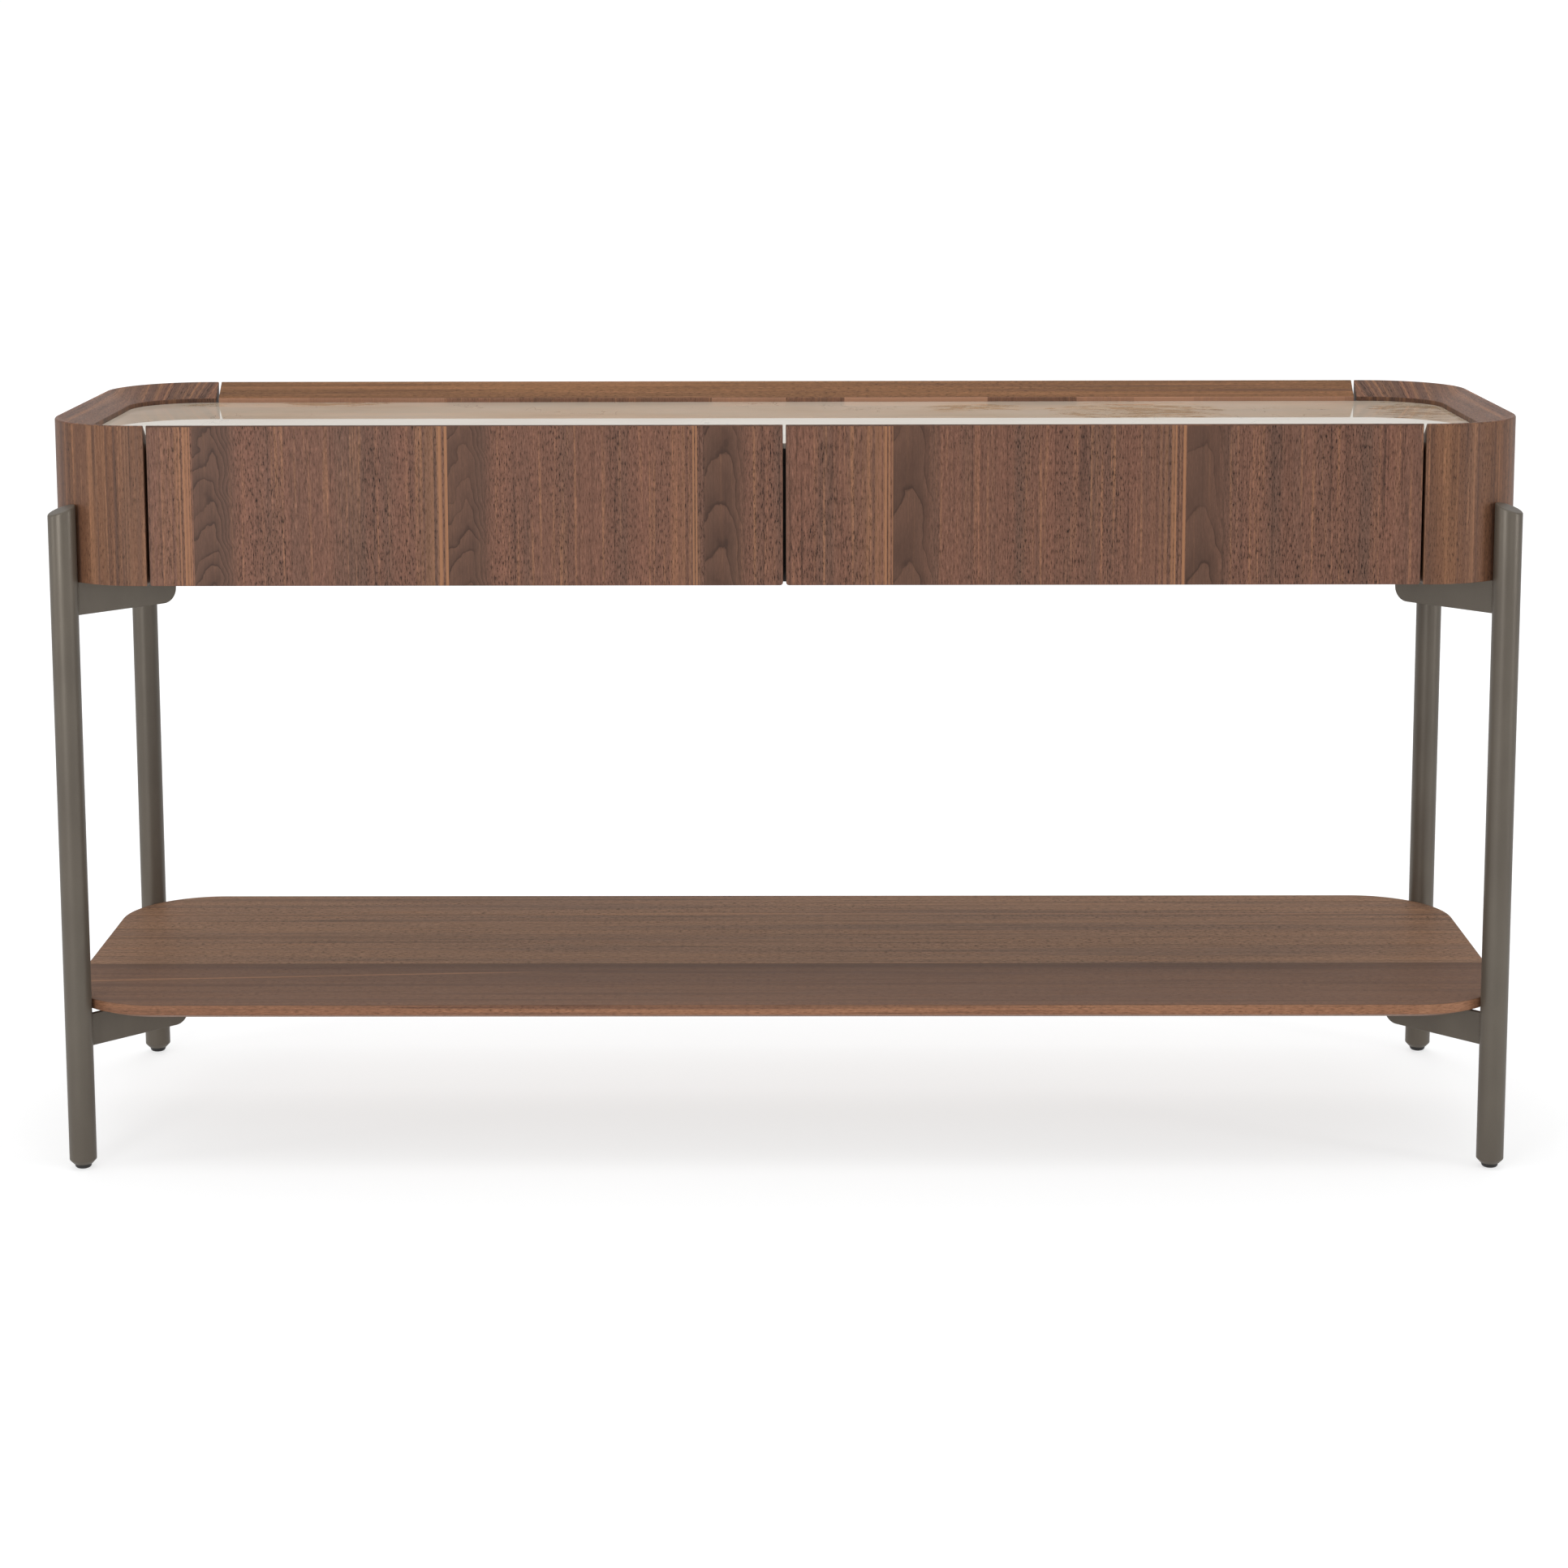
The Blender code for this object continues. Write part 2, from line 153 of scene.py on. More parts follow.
WELD_RADIUS = 0.0013
WELD_OFF_LEG = 0.0004
WELD_OFF_PLATE = 0.0003
WELD_END_GAP = 0.0012
WELD_RIPPLES = 11.0
WELD_RIPPLE = 0.10           # share of the radius
WELD_END_SIZE = 0.35         # share of the radius
WELD_TAPER = 6.0
WELD_STEPS = 40

CORNERS = {
    "front_left": (-1, -1),
    "front_right": (1, -1),
    "back_left": (-1, 1),
    "back_right": (1, 1),
}
SIDES = {"left": -1, "right": 1}
ALONG_X, ALONG_Y = 0, 1

# The rim's section has five segments: outer face, edge, slope, lip and foot.  The
# slots are the material of each, on the end shells and rail, and on the fronts.
EDGE, SLOPE = 1, 2
SHELL_SLOTS = (0, 1, 1, 2, 0)
FRONT_SLOTS = (0, 2, 1, 2, 2)

# Veneer leaves of the drawer fronts: (start, end, seed) along X.  The seed sets
# how close the growth rings of the figure at the leaf's start are.
LEAVES = {
    "left": [
        (-0.850, -0.594, 0.55),
        (-0.594, -0.338, 0.80),
        (-0.338, -0.080, 0.68),
        (-0.080, 0.178, 0.30),
    ],
    "right": [
        (-0.185, 0.109, 0.45),
        (0.109, 0.403, 0.11),
        (0.403, 0.697, 0.15),
    ],
}


# ---- Shader graph helper ---------------------------------------------------
def srgb(red, green, blue):
    """Linear colour from display values between 0 and 255."""
    channels = []
    for value in (red, green, blue):
        c = value / 255.0
        channels.append(c / 12.92 if c <= 0.04045 else ((c + 0.055) / 1.055) ** 2.4)
    return (*channels, 1.0)


class Graph:
    """The nodes of a material, world or light, with short calls for those used here."""

    def __init__(self, owner):
        owner.use_nodes = True
        self.owner = owner
        self.tree = owner.node_tree
        self.shader = self.tree.nodes.get("Principled BSDF")

    def add(self, kind, **settings):
        node = self.tree.nodes.new(kind)
        for key, value in settings.items():
            setattr(node, key, value)
        return node

    def put(self, socket, value):
        """Link an output to the socket, or set a plain value on it."""
        if isinstance(value, bpy.types.NodeSocket):
            self.tree.links.new(value, socket)
        else:
            socket.default_value = value

    def math(self, operation, *values, clamp=False):
        node = self.add("ShaderNodeMath", operation=operation, use_clamp=clamp)
        for socket, value in zip(node.inputs, values):
            self.put(socket, value)
        return node.outputs[0]

    def times(self, first, second):
        return self.math("MULTIPLY", first, second)

    def plus(self, first, second):
        return self.math("ADD", first, second)

    def fit(self, value, gain, offset):
        """value times gain, plus offset."""
        return self.math("MULTIPLY_ADD", value, gain, offset)

    def span(self, value, low, high, to_low=0.0, to_high=1.0):
        """Smooth step of value from low..high to to_low..to_high."""
        node = self.add("ShaderNodeMapRange", interpolation_type="SMOOTHSTEP")
        for socket, item in zip(node.inputs, (value, low, high, to_low, to_high)):
            self.put(socket, item)
        return node.outputs[0]

    def line(self, value, centre, outer, inner, strength=1.0):
        """A line where value is near centre: full within inner, gone past outer."""
        away = self.math("ABSOLUTE", self.plus(value, -centre))
        return self.span(away, outer, inner, 0.0, strength)

    def mix(self, factor, first, second):
        node = self.add("ShaderNodeMix", data_type="RGBA")
        for index, item in ((0, factor), (6, first), (7, second)):
            self.put(node.inputs[index], item)
        return node.outputs[2]

    def scaled(self, vector, scale):
        node = self.add("ShaderNodeVectorMath", operation="MULTIPLY")
        self.put(node.inputs[0], vector)
        node.inputs[1].default_value = scale
        return node.outputs[0]

    def join(self, x, y, z):
        node = self.add("ShaderNodeCombineXYZ")
        for socket, item in zip(node.inputs, (x, y, z)):
            self.put(socket, item)
        return node.outputs[0]

    def split(self, vector):
        node = self.add("ShaderNodeSeparateXYZ")
        self.put(node.inputs[0], vector)
        return node.outputs

    def noise(self, vector, scale, detail=2.0, rough=0.5, warp=0.0):
        """Noise round 0.5, with scale in features a metre along each axis."""
        node = self.add("ShaderNodeTexNoise")
        self.put(node.inputs["Vector"], self.scaled(vector, scale))
        node.inputs["Scale"].default_value = 1.0
        node.inputs["Detail"].default_value = detail
        node.inputs["Roughness"].default_value = rough
        node.inputs["Distortion"].default_value = warp
        return node.outputs[0]

    def ramp(self, factor, stops):
        node = self.add("ShaderNodeValToRGB")
        elements = node.color_ramp.elements
        while len(elements) < len(stops):
            elements.new(0.5)
        for element, (position, colour) in zip(elements, stops):
            element.position = position
            element.color = colour
        self.put(node.inputs[0], factor)
        return node.outputs[0]

    def uv(self, name):
        return self.split(self.add("ShaderNodeUVMap", uv_map=name).outputs[0])

    def place(self):
        return self.add("ShaderNodeTexCoord").outputs["Object"]

    def dim(self, colour, value):
        """Colour multiplied by a grey value."""
        node = self.add("ShaderNodeVectorMath", operation="SCALE")
        if isinstance(colour, tuple):
            colour = colour[:3]
        self.put(node.inputs[0], colour)
        self.put(node.inputs["Scale"], value)
        return node.outputs[0]

    def bump(self, height, distance, strength):
        node = self.add("ShaderNodeBump")
        node.inputs["Strength"].default_value = strength
        node.inputs["Distance"].default_value = distance
        self.put(node.inputs["Height"], height)
        self.put(self.shader.inputs["Normal"], node.outputs[0])

    def finish(self, colour, roughness, **fixed):
        self.put(self.shader.inputs["Base Color"], colour)
        self.put(self.shader.inputs["Roughness"], roughness)
        for name, value in fixed.items():
            self.shader.inputs[name.replace("_", " ")].default_value = value
        return self.owner


def new_material(name):
    return Graph(bpy.data.materials.new(name))


# ---- Walnut ----------------------------------------------------------------
WOOD_BASE = srgb(116, 82, 67)
WOOD_RED = srgb(122, 85, 69)
WOOD_GREY = srgb(106, 78, 65)
WOOD_DARK = srgb(62, 45, 38)
WOOD_ORANGE = srgb(166, 118, 84)
WOOD_TONES = (WOOD_BASE, WOOD_RED, WOOD_GREY)
FIGURE_GROUND = srgb(98, 72, 59)
STRIPE_DARK = srgb(84, 64, 57)
LIP_LIGHT = srgb(184, 139, 112)
END_TONES = (srgb(116, 81, 61), srgb(124, 87, 64), srgb(104, 74, 58))
SLOPE_TONES = (srgb(107, 79, 64), WOOD_BASE, WOOD_GREY)
RAIL_TONES = (srgb(127, 88, 58), srgb(135, 95, 62), srgb(113, 80, 54))
BAND_TONES = (srgb(98, 71, 57), srgb(104, 73, 58), srgb(84, 62, 52))
SHELF_TONES = (srgb(144, 111, 88), srgb(150, 115, 90), srgb(133, 104, 85))
SHELF_EDGE_TONES = (srgb(144, 102, 77), srgb(154, 111, 84), srgb(130, 92, 70))
SHELF_FRONT = srgb(108, 81, 68)
SHELF_JOINT = srgb(92, 71, 60)
SHELF_STREAK = srgb(186, 136, 100)
SHELF_RINGS = srgb(96, 75, 64)

FIGURE_AXIS = 0.033          # arch tips, across from the leaf's start
FIGURE_LEFT_FLANK = -0.34    # slope of the left flank against the right one
FIGURE_TIP = 0.0000045       # rounds the tips, in square metres
FIGURE_LEAN = 0.28           # how fast the arches climb along the leaf
SHELF_JOINT_Y = -0.066
LIP_BLOCKS = 13.0            # a metre


def wood_grain(g, grain, tones, fine=1.0, streaky=1.0, calm=0.0):
    """Straight walnut grain over (across, along, seed) metres.

    Returns colour and a height that is low in the pores.  Where calm is 1 the
    pores are few."""
    base, red, grey = tones
    bands = g.noise(grain, (42.0, 1.2, 3.0))
    colour = g.ramp(bands, [(0.36, grey), (0.50, base), (0.64, red)])
    streaks = g.noise(grain, (260.0, 3.2, 5.0), 3.0, 0.65)
    lighter = g.span(streaks, 0.53, 0.70, 0.0, 0.46 * streaky)
    colour = g.mix(lighter, colour, WOOD_ORANGE)
    darker = g.span(streaks, 0.46, 0.28, 0.0, 0.62 * streaky)
    colour = g.mix(darker, colour, WOOD_DARK)
    fibres = g.noise(grain, (760.0, 95.0, 7.0), 2.0, 0.6)
    pores = g.noise(grain, (900.0, 190.0, 9.0), 2.0, 0.55)
    crowd = g.span(g.noise(grain, (26.0, 3.0, 2.0), 1.0), 0.38, 0.62, 0.55, 1.15)
    open_grain = g.times(crowd, g.fit(calm, -0.65, 1.0))
    holes = g.times(g.span(pores, 0.47, 0.34, 0.0, 0.66 * fine), open_grain)
    flecks = g.span(pores, 0.56, 0.72, 0.0, 0.34 * fine)
    grit = g.fit(fibres, 1.45 * fine, 1.0 - 0.68 * fine)
    value = g.plus(g.math("SUBTRACT", grit, holes), flecks)
    height = g.math("SUBTRACT", g.times(fibres, 0.4), holes)
    return g.dim(colour, value), height


def finish_wood(g, colour, height, grain, matt=0.42, level=0.22):
    sheen = g.noise(grain, (160.0, 18.0, 1.0))
    roughness = g.fit(sheen, 0.14, matt - 0.07)
    g.bump(height, 0.00018, 0.5)
    return g.finish(colour, roughness, IOR=1.46, Specular_IOR_Level=level)


def front_walnut():
    """Leaves with a cathedral figure at the start and orange stripes at the end."""
    g = new_material("walnut_leaf_veneer")
    across, along, _ = g.uv("Grain")
    to_end, seed, _ = g.uv("Leaf")
    grain = g.join(across, along, g.times(seed, 9.0))
    figure = g.span(across, 0.050, 0.028)
    colour, height = wood_grain(g, grain, WOOD_TONES, calm=figure)

    # Growth rings cut by the leaf: stacked arches with a long steep right side.
    wander = g.noise(grain, (1.0, 17.0, 4.0))
    offset = g.plus(across, g.fit(wander, 0.026, -FIGURE_AXIS))
    flank = g.math("MAXIMUM", offset, g.times(offset, FIGURE_LEFT_FLANK))
    flank = g.math("SQRT", g.fit(flank, flank, FIGURE_TIP))
    steep = g.fit(flank, 30.0, 1.0)
    reach = g.fit(along, FIGURE_LEAN, g.times(flank, steep))
    drift = g.noise(grain, (24.0, 20.0, 3.0))
    warp = g.noise(grain, (95.0, 55.0, 6.0), 3.0, 0.6)
    reach = g.fit(drift, 0.018, g.fit(warp, 0.0050, reach))
    rings_per_metre = g.fit(seed, 150.0, 32.0)
    ring = g.math("FRACT", g.times(reach, rings_per_metre))
    width = g.fit(seed, 0.16, 0.09)
    line = g.math("MAXIMUM", g.span(ring, width, 0.0), g.span(ring, 0.955, 1.0))
    shade = g.span(ring, 0.95, 0.05, 0.0, 0.62)
    marks = g.fit(line, 0.55, shade)
    broken = g.span(g.noise(grain, (26.0, 16.0, 8.0)), 0.30, 0.58, 0.45, 1.0)
    marks = g.times(marks, broken)
    ground = g.mix(g.times(figure, 0.74), colour, FIGURE_GROUND)
    strength = g.fit(figure, 0.66, 0.06)
    colour = g.mix(g.math("MULTIPLY", marks, strength, clamp=True), ground, WOOD_DARK)

    # Light orange stripes before the next leaf starts.
    line_at = g.join(to_end, g.times(along, 0.02), seed)
    stripes = g.noise(line_at, (330.0, 4.0, 11.0), 1.0)
    near_end = g.fit(g.span(to_end, 0.018, 0.009), 0.62, g.span(to_end, 0.050, 0.012, 0.0, 0.38))
    orange = g.times(g.span(stripes, 0.42, 0.58), near_end)
    dark = g.times(g.span(stripes, 0.42, 0.30), near_end)
    colour = g.mix(g.times(orange, 0.85), colour, WOOD_ORANGE)
    colour = g.mix(g.times(dark, 0.55), colour, WOOD_DARK)
    return finish_wood(g, colour, height, grain)


def striped_walnut(name, tones, seed, fine=0.7, streaky=1.2):
    """Quarter-cut walnut with straight stripes, for ends, rims and edges."""
    g = new_material(name)
    across, along, _ = g.uv("Grain")
    grain = g.join(across, along, seed)
    colour, height = wood_grain(g, grain, tones, fine, streaky)
    stripes = g.noise(grain, (190.0, 0.8, 2.0), 2.0, 0.6)
    colour = g.mix(g.span(stripes, 0.52, 0.70, 0.0, 0.34), colour, WOOD_ORANGE)
    colour = g.mix(g.span(stripes, 0.46, 0.30, 0.0, 0.50), colour, STRIPE_DARK)
    return finish_wood(g, colour, height, grain)


def lip_walnut():
    """Short upright blocks of cross grain along the rail's inner lip."""
    g = new_material("walnut_lip")
    across, along, _ = g.uv("Grain")
    grain = g.join(across, along, 5.0)
    colour, height = wood_grain(g, grain, WOOD_TONES, 0.8, 1.4)
    wander = g.noise(g.join(across, 0.0, 1.0), (4.0, 1.0, 1.0), 1.0)
    block = g.math("FLOOR", g.fit(across, LIP_BLOCKS, g.times(wander, 2.0)))
    tone = g.add("ShaderNodeTexWhiteNoise", noise_dimensions="1D")
    g.put(tone.inputs["W"], block)
    colour = g.mix(g.span(tone.outputs[0], 0.20, 0.80, 0.22, 0.86), colour, LIP_LIGHT)
    colour = g.mix(g.span(tone.outputs[0], 0.30, 0.05, 0.0, 0.20), colour, WOOD_DARK)
    return finish_wood(g, colour, height, grain)


def shelf_walnut():
    """Shelf veneer: grain along X, a joint before the middle and a slanting streak."""
    g = new_material("walnut_shelf_veneer")
    across, along, _ = g.uv("Grain")
    grain = g.join(across, along, 7.0)
    colour, height = wood_grain(g, grain, SHELF_TONES, 0.9, 0.9)
    wave = g.fit(g.noise(grain, (3.0, 2.6, 1.0)), 0.010, -0.005)
    place = g.plus(across, wave)
    behind = g.math("GREATER_THAN", across, SHELF_JOINT_Y)
    front = g.math("SUBTRACT", 1.0, behind)
    dark = g.times(g.span(place, -0.104, SHELF_JOINT_Y - 0.002), front)
    colour = g.mix(g.times(front, 0.64), colour, SHELF_FRONT)
    colour = g.mix(g.times(dark, 0.50), colour, SHELF_JOINT)
    slant = g.fit(along, -0.075, place)
    streak = g.line(slant, -0.078, 0.0034, 0.0008)
    streak = g.times(streak, g.span(along, -0.20, -0.36))
    back_streak = g.line(place, 0.141, 0.0030, 0.0008)
    light = g.math("MAXIMUM", streak, g.times(back_streak, 0.8))
    colour = g.mix(g.times(light, 0.42), colour, SHELF_STREAK)
    rings = g.noise(grain, (85.0, 1.1, 2.0), 2.0, 0.6)
    colour = g.mix(g.span(rings, 0.52, 0.70, 0.0, 0.45), colour, SHELF_RINGS)
    return finish_wood(g, colour, height, grain, matt=0.52, level=0.08)


# ---- Stone, metal, boards and plastics -------------------------------------
STONE_LOW_TONE = srgb(206, 197, 181)
STONE_MID_TONE = srgb(217, 210, 195)
STONE_HIGH_TONE = srgb(224, 218, 205)
# Warm tone of the stone, also used for the painted reflection of the back rim's brown wood.
STONE_WARM_AND_RIM_REFLECTION = srgb(182, 162, 140)
STONE_BROWN = (srgb(116, 88, 62), srgb(170, 142, 110))
STONE_HALO = srgb(196, 174, 144)
STONE_VEIN = srgb(132, 122, 104)

# Brown patches of the stone: centre X, centre Y, half length, half width.
STONE_PATCHES = (
    (0.385, 0.095, 0.135, 0.125),
    (0.205, 0.135, 0.090, 0.060),
    (0.690, 0.085, 0.075, 0.130),
    (-0.510, 0.188, 0.105, 0.046),
    (-0.650, 0.170, 0.040, 0.030),
)


def veined_stone():
    """Polished cream stone with ragged brown patches and hairline veins."""
    g = new_material("veined_cream_stone")
    place = g.place()
    x, y, _ = g.split(place)
    cloud = g.noise(place, (7.0, 11.0, 5.0), 4.0, 0.6)
    colour = g.ramp(cloud, [(0.30, STONE_LOW_TONE), (0.50, STONE_MID_TONE),
                            (0.70, STONE_HIGH_TONE)])
    mist = g.span(g.noise(place, (3.0, 5.0, 2.0), 3.0, 0.6), 0.42, 0.70, 0.12, 0.30)
    # Warm tone: random warm clouds of the stone's own, plus a painted reflection of the back rim's
    # brown wood that warms the slab from the middle to the back.
    warmth_and_painted_reflection = g.fit(g.span(y, -0.12, 0.02), 0.30, mist)
    colour = g.mix(warmth_and_painted_reflection, colour, STONE_WARM_AND_RIM_REFLECTION)

    # Brown patches: ragged, streaked along X, and thinning out from their centres.
    ragged = g.noise(place, (24.0, 58.0, 9.0), 8.0, 0.74, 0.9)
    reach = None
    for px, py, rx, ry in STONE_PATCHES:
        dx = g.times(g.plus(x, -px), 1.0 / rx)
        dy = g.times(g.plus(y, -py), 1.0 / ry)
        away = g.plus(g.times(dx, dx), g.times(dy, dy))
        near = g.span(away, 1.3, 0.0)
        reach = near if reach is None else g.math("MAXIMUM", reach, near)
    edge = g.fit(reach, -0.29, 0.76)
    above = g.math("SUBTRACT", ragged, edge)
    patch = g.times(g.span(above, 0.0, 0.05), g.span(reach, 0.0, 0.15))
    mottle = g.noise(place, (90.0, 160.0, 60.0), 4.0, 0.65)
    brown = g.mix(g.span(mottle, 0.36, 0.64), *STONE_BROWN)
    colour = g.mix(g.times(patch, 0.82), colour, brown)
    halo = g.times(g.span(above, -0.09, 0.0), g.span(reach, 0.0, 0.2))
    colour = g.mix(g.times(halo, 0.34), colour, STONE_HALO)

    # Hairline veins and fine cracks that run across the slab.
    bent = g.noise(place, (5.0, 6.0, 5.0), 5.0, 0.62, 0.4)
    hair = g.line(bent, 0.5, 0.0040, 0.0)
    shown = g.span(g.noise(place, (9.0, 9.0, 2.0), 1.0), 0.50, 0.62)
    crossing = g.noise(place, (11.0, 1.8, 3.0), 4.0, 0.6, 0.2)
    crack = g.line(crossing, 0.53, 0.0030, 0.0, 0.6)
    veins = g.math("MAXIMUM", g.times(hair, shown), g.times(crack, shown))
    colour = g.mix(g.times(veins, 0.7), colour, STONE_VEIN)
    roughness = g.fit(g.noise(place, (60.0, 60.0, 60.0)), 0.012, 0.002)
    g.bump(g.noise(place, (9.0, 9.0, 9.0), 1.0), 0.0002, 0.05)
    return g.finish(colour, roughness, IOR=1.5)


def bronze_paint():
    """Satin bronze-grey powder coat with a fine orange-peel surface."""
    g = new_material("bronze_powder_coat")
    place = g.place()
    peel = g.noise(place, (900.0, 900.0, 900.0))
    cloud = g.noise(place, (30.0, 30.0, 12.0), 3.0)
    colour = g.ramp(cloud, [(0.3, srgb(99, 91, 81)), (0.7, srgb(107, 99, 88))])
    colour = g.dim(colour, g.fit(peel, 0.12, 0.94))
    wear = g.noise(place, (70.0, 70.0, 25.0), 3.0)
    roughness = g.fit(wear, 0.08, 0.36)
    g.bump(peel, 0.00006, 0.22)
    return g.finish(colour, roughness, Metallic=0.35, IOR=1.5)


def board_material(name, light, dark, along_axis, matt=0.5):
    """Printed wood-grain board, its grain ALONG_X or ALONG_Y."""
    g = new_material(name)
    place = g.place()
    scale = [320.0, 320.0, 320.0]
    scale[along_axis] = 6.0
    wide = [value / 6.0 for value in scale]
    fine = g.noise(place, tuple(scale), 3.0, 0.6)
    bands = g.noise(place, tuple(wide))
    tone = g.fit(bands, 0.6, g.times(fine, 0.4))
    colour = g.ramp(tone, [(0.36, dark), (0.64, light)])
    g.bump(fine, 0.00008, 0.4)
    roughness = g.fit(fine, 0.12, matt - 0.06)
    return g.finish(colour, roughness, IOR=1.46)


def zinc_steel():
    """Bright zinc-plated steel with rolling lines along Y."""
    g = new_material("zinc_steel")
    place = g.place()
    lines = g.noise(place, (1100.0, 6.0, 1100.0), 3.0)
    bloom = g.noise(place, (60.0, 60.0, 60.0), 3.0)
    colour = g.ramp(bloom, [(0.3, srgb(186, 188, 190)), (0.7, srgb(206, 208, 211))])
    roughness = g.fit(lines, 0.18, 0.20)
    g.bump(lines, 0.00003, 0.35)
    return g.finish(colour, roughness, Metallic=1.0)


def plastic(name, tone, matt=0.42):
    """Moulded plastic with a fine spark-eroded texture."""
    g = new_material(name)
    place = g.place()
    speck = g.noise(place, (1400.0, 1400.0, 1400.0))
    cloud = g.noise(place, (120.0, 120.0, 120.0))
    colour = g.dim(tone, g.fit(cloud, 0.30, 0.85))
    g.bump(speck, 0.00008, 0.4)
    return g.finish(colour, g.fit(speck, 0.16, matt - 0.08), IOR=1.48)


# ---- Mesh helpers ----------------------------------------------------------
def make_piece(name, bm, materials, body="table"):
    """Turn bm into a smooth-shaded piece that rides on a body."""
    bmesh.ops.recalc_face_normals(bm, faces=bm.faces)
    mesh = bpy.data.meshes.new(name)
    bm.to_mesh(mesh)
    bm.free()
    for material in materials:
        mesh.materials.append(material)
    mesh.shade_smooth()
    item = bpy.data.objects.new(name, mesh)
    bpy.context.scene.collection.objects.link(item)
    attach(item, body)
    return item


def stand_for(item, slot, *nodes):
    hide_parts(*nodes)


def soften(item, width, segments=3, angle=30.0):
    """Round every edge sharper than angle."""
    bevel = item.modifiers.new("Soft edges", "BEVEL")
    bevel.width = width
    bevel.segments = segments
    bevel.limit_method = "ANGLE"
    bevel.angle_limit = math.radians(angle)
    bevel.harden_normals = True


def sharpen(item, angle):
    """Keep the edges sharper than angle crisp in the smooth shading."""
    item.data.set_sharp_from_angle(angle=math.radians(angle))


def circle(sides):
    """(cos, sin) of each direction of a full turn."""
    for i in range(sides):
        angle = math.tau * i / sides
        yield math.cos(angle), math.sin(angle)


def quarter(start, steps):
    """(cos, sin) of the directions from start to start + 90 degrees."""
    for i in range(steps + 1):
        angle = math.radians(start + 90 * i / steps)
        yield math.cos(angle), math.sin(angle)


def lay_rings(bm, rings):
    return [[bm.verts.new(point) for point in ring] for ring in rings]


def join_rings(bm, low, high):
    """Quads between two rings, or a fan where one is a single point."""
    sides = max(len(low), len(high))
    for i in range(sides):
        j = (i + 1) % sides
        corners = [low[i % len(low)], low[j % len(low)], high[j % len(high)], high[i % len(high)]]
        unique = list(dict.fromkeys(corners))
        bm.faces.new(unique)


def join_all(bm, loops):
    for low, high in zip(loops, loops[1:]):
        join_rings(bm, low, high)


def set_uv(face, layer, values):
    for loop, value in zip(face.loops, values):
        loop[layer].uv = value


def band_faces(bm, loops):
    """Make the quads between rings of equal points, and give each with its ring i,
    its point j and the next point k."""
    count = len(loops[0])
    for i in range(len(loops) - 1):
        for j in range(count):
            k = (j + 1) % count
            face = bm.faces.new((loops[i][j], loops[i][k], loops[i + 1][k], loops[i + 1][j]))
            yield i, j, k, face


def close_ends(bm, loops, layer, slot, mapping):
    """Close the first and last ring, with grain coordinates from mapping(place)."""
    for ring in (loops[0], loops[-1]):
        face = bm.faces.new(ring)
        face.material_index = slot
        set_uv(face, layer, [mapping(vert.co) for vert in ring])


def skin(rings, mapping, end_slot, end_mapping):
    """Skin rings of the rim's section.  mapping(j, point, i) gives the grain
    coordinates of segment j at a point of ring i."""
    bm = bmesh.new()
    layer = bm.loops.layers.uv.new("Grain")
    loops = lay_rings(bm, rings)
    for i, j, k, face in band_faces(bm, loops):
        face.material_index = SHELL_SLOTS[j]
        corners = ((i, j), (i, k), (i + 1, k), (i + 1, j))
        set_uv(face, layer, [mapping(j, rings[a][b], a) for a, b in corners])
    close_ends(bm, loops, layer, end_slot, end_mapping)
    return bm


def lathe(profile, sides, centre=(0.0, 0.0)):
    """Turn a (radius, z) profile round the upright line through centre."""
    bm = bmesh.new()
    rings = []
    for radius, z in profile:
        if radius < 1e-6:
            rings.append([(centre[0], centre[1], z)])
        else:
            rings.append([(centre[0] + radius * c, centre[1] + radius * s, z)
                          for c, s in circle(sides)])
    join_all(bm, lay_rings(bm, rings))
    return bm


def cad_copy(node):
    """The CAD mesh of a node with its flat faces merged."""
    bm = bmesh.new()
    bm.from_mesh(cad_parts[node].data)
    bmesh.ops.remove_doubles(bm, verts=bm.verts, dist=1e-5)
    bmesh.ops.dissolve_limit(bm, angle_limit=math.radians(1.0), verts=bm.verts,
                             edges=bm.edges)
    return bm


def rounded_plan(inset):
    """Plan outline, anticlockwise from the front right corner, moved in by inset."""
    points = []
    for sx, sy, start in ((1, -1, -90), (1, 1, 0), (-1, 1, 90), (-1, -1, 180)):
        for c, s in quarter(start, CORNER_STEPS):
            x = sx * (HALF_W - CORNER_RADIUS) + (CORNER_RADIUS - inset) * c
            y = sy * (HALF_D - CORNER_RADIUS) + (CORNER_RADIUS - inset) * s
            points.append((x, y))
    return points


def rim_section(thickness):
    """(inwards, height) points: outer foot, edge, crest, inner edge, inner foot."""
    run = RIM_THICKNESS - RIM_EDGE
    fall = RIM_FALL * (thickness - RIM_EDGE) / run
    height = TOP_Z - BODY_Z
    return [(0.0, 0.0), (0.0, height - RIM_EDGE), (RIM_EDGE, height),
            (thickness, height - fall), (thickness, 0.0)]


# ---- Body pieces -----------------------------------------------------------
def end_path(side):
    """(x, y, normal x, normal y, run) round one end, from front to back."""
    path = [(side * SHELL_END_X, -HALF_D, 0.0, -1.0)]
    for sy, start in ((-1, -90), (1, 0)):
        for c, ny in quarter(start, CORNER_STEPS):
            nx = side * c
            path.append((side * (HALF_W - CORNER_RADIUS) + CORNER_RADIUS * nx,
                         sy * (HALF_D - CORNER_RADIUS) + CORNER_RADIUS * ny, nx, ny))
    path.append((side * SHELL_END_X, HALF_D, 0.0, 1.0))
    run = 0.0
    stations = []
    for i, (x, y, nx, ny) in enumerate(path):
        if i:
            run += math.hypot(x - path[i - 1][0], y - path[i - 1][1])
        stations.append((x, y, nx, ny, run))
    return stations


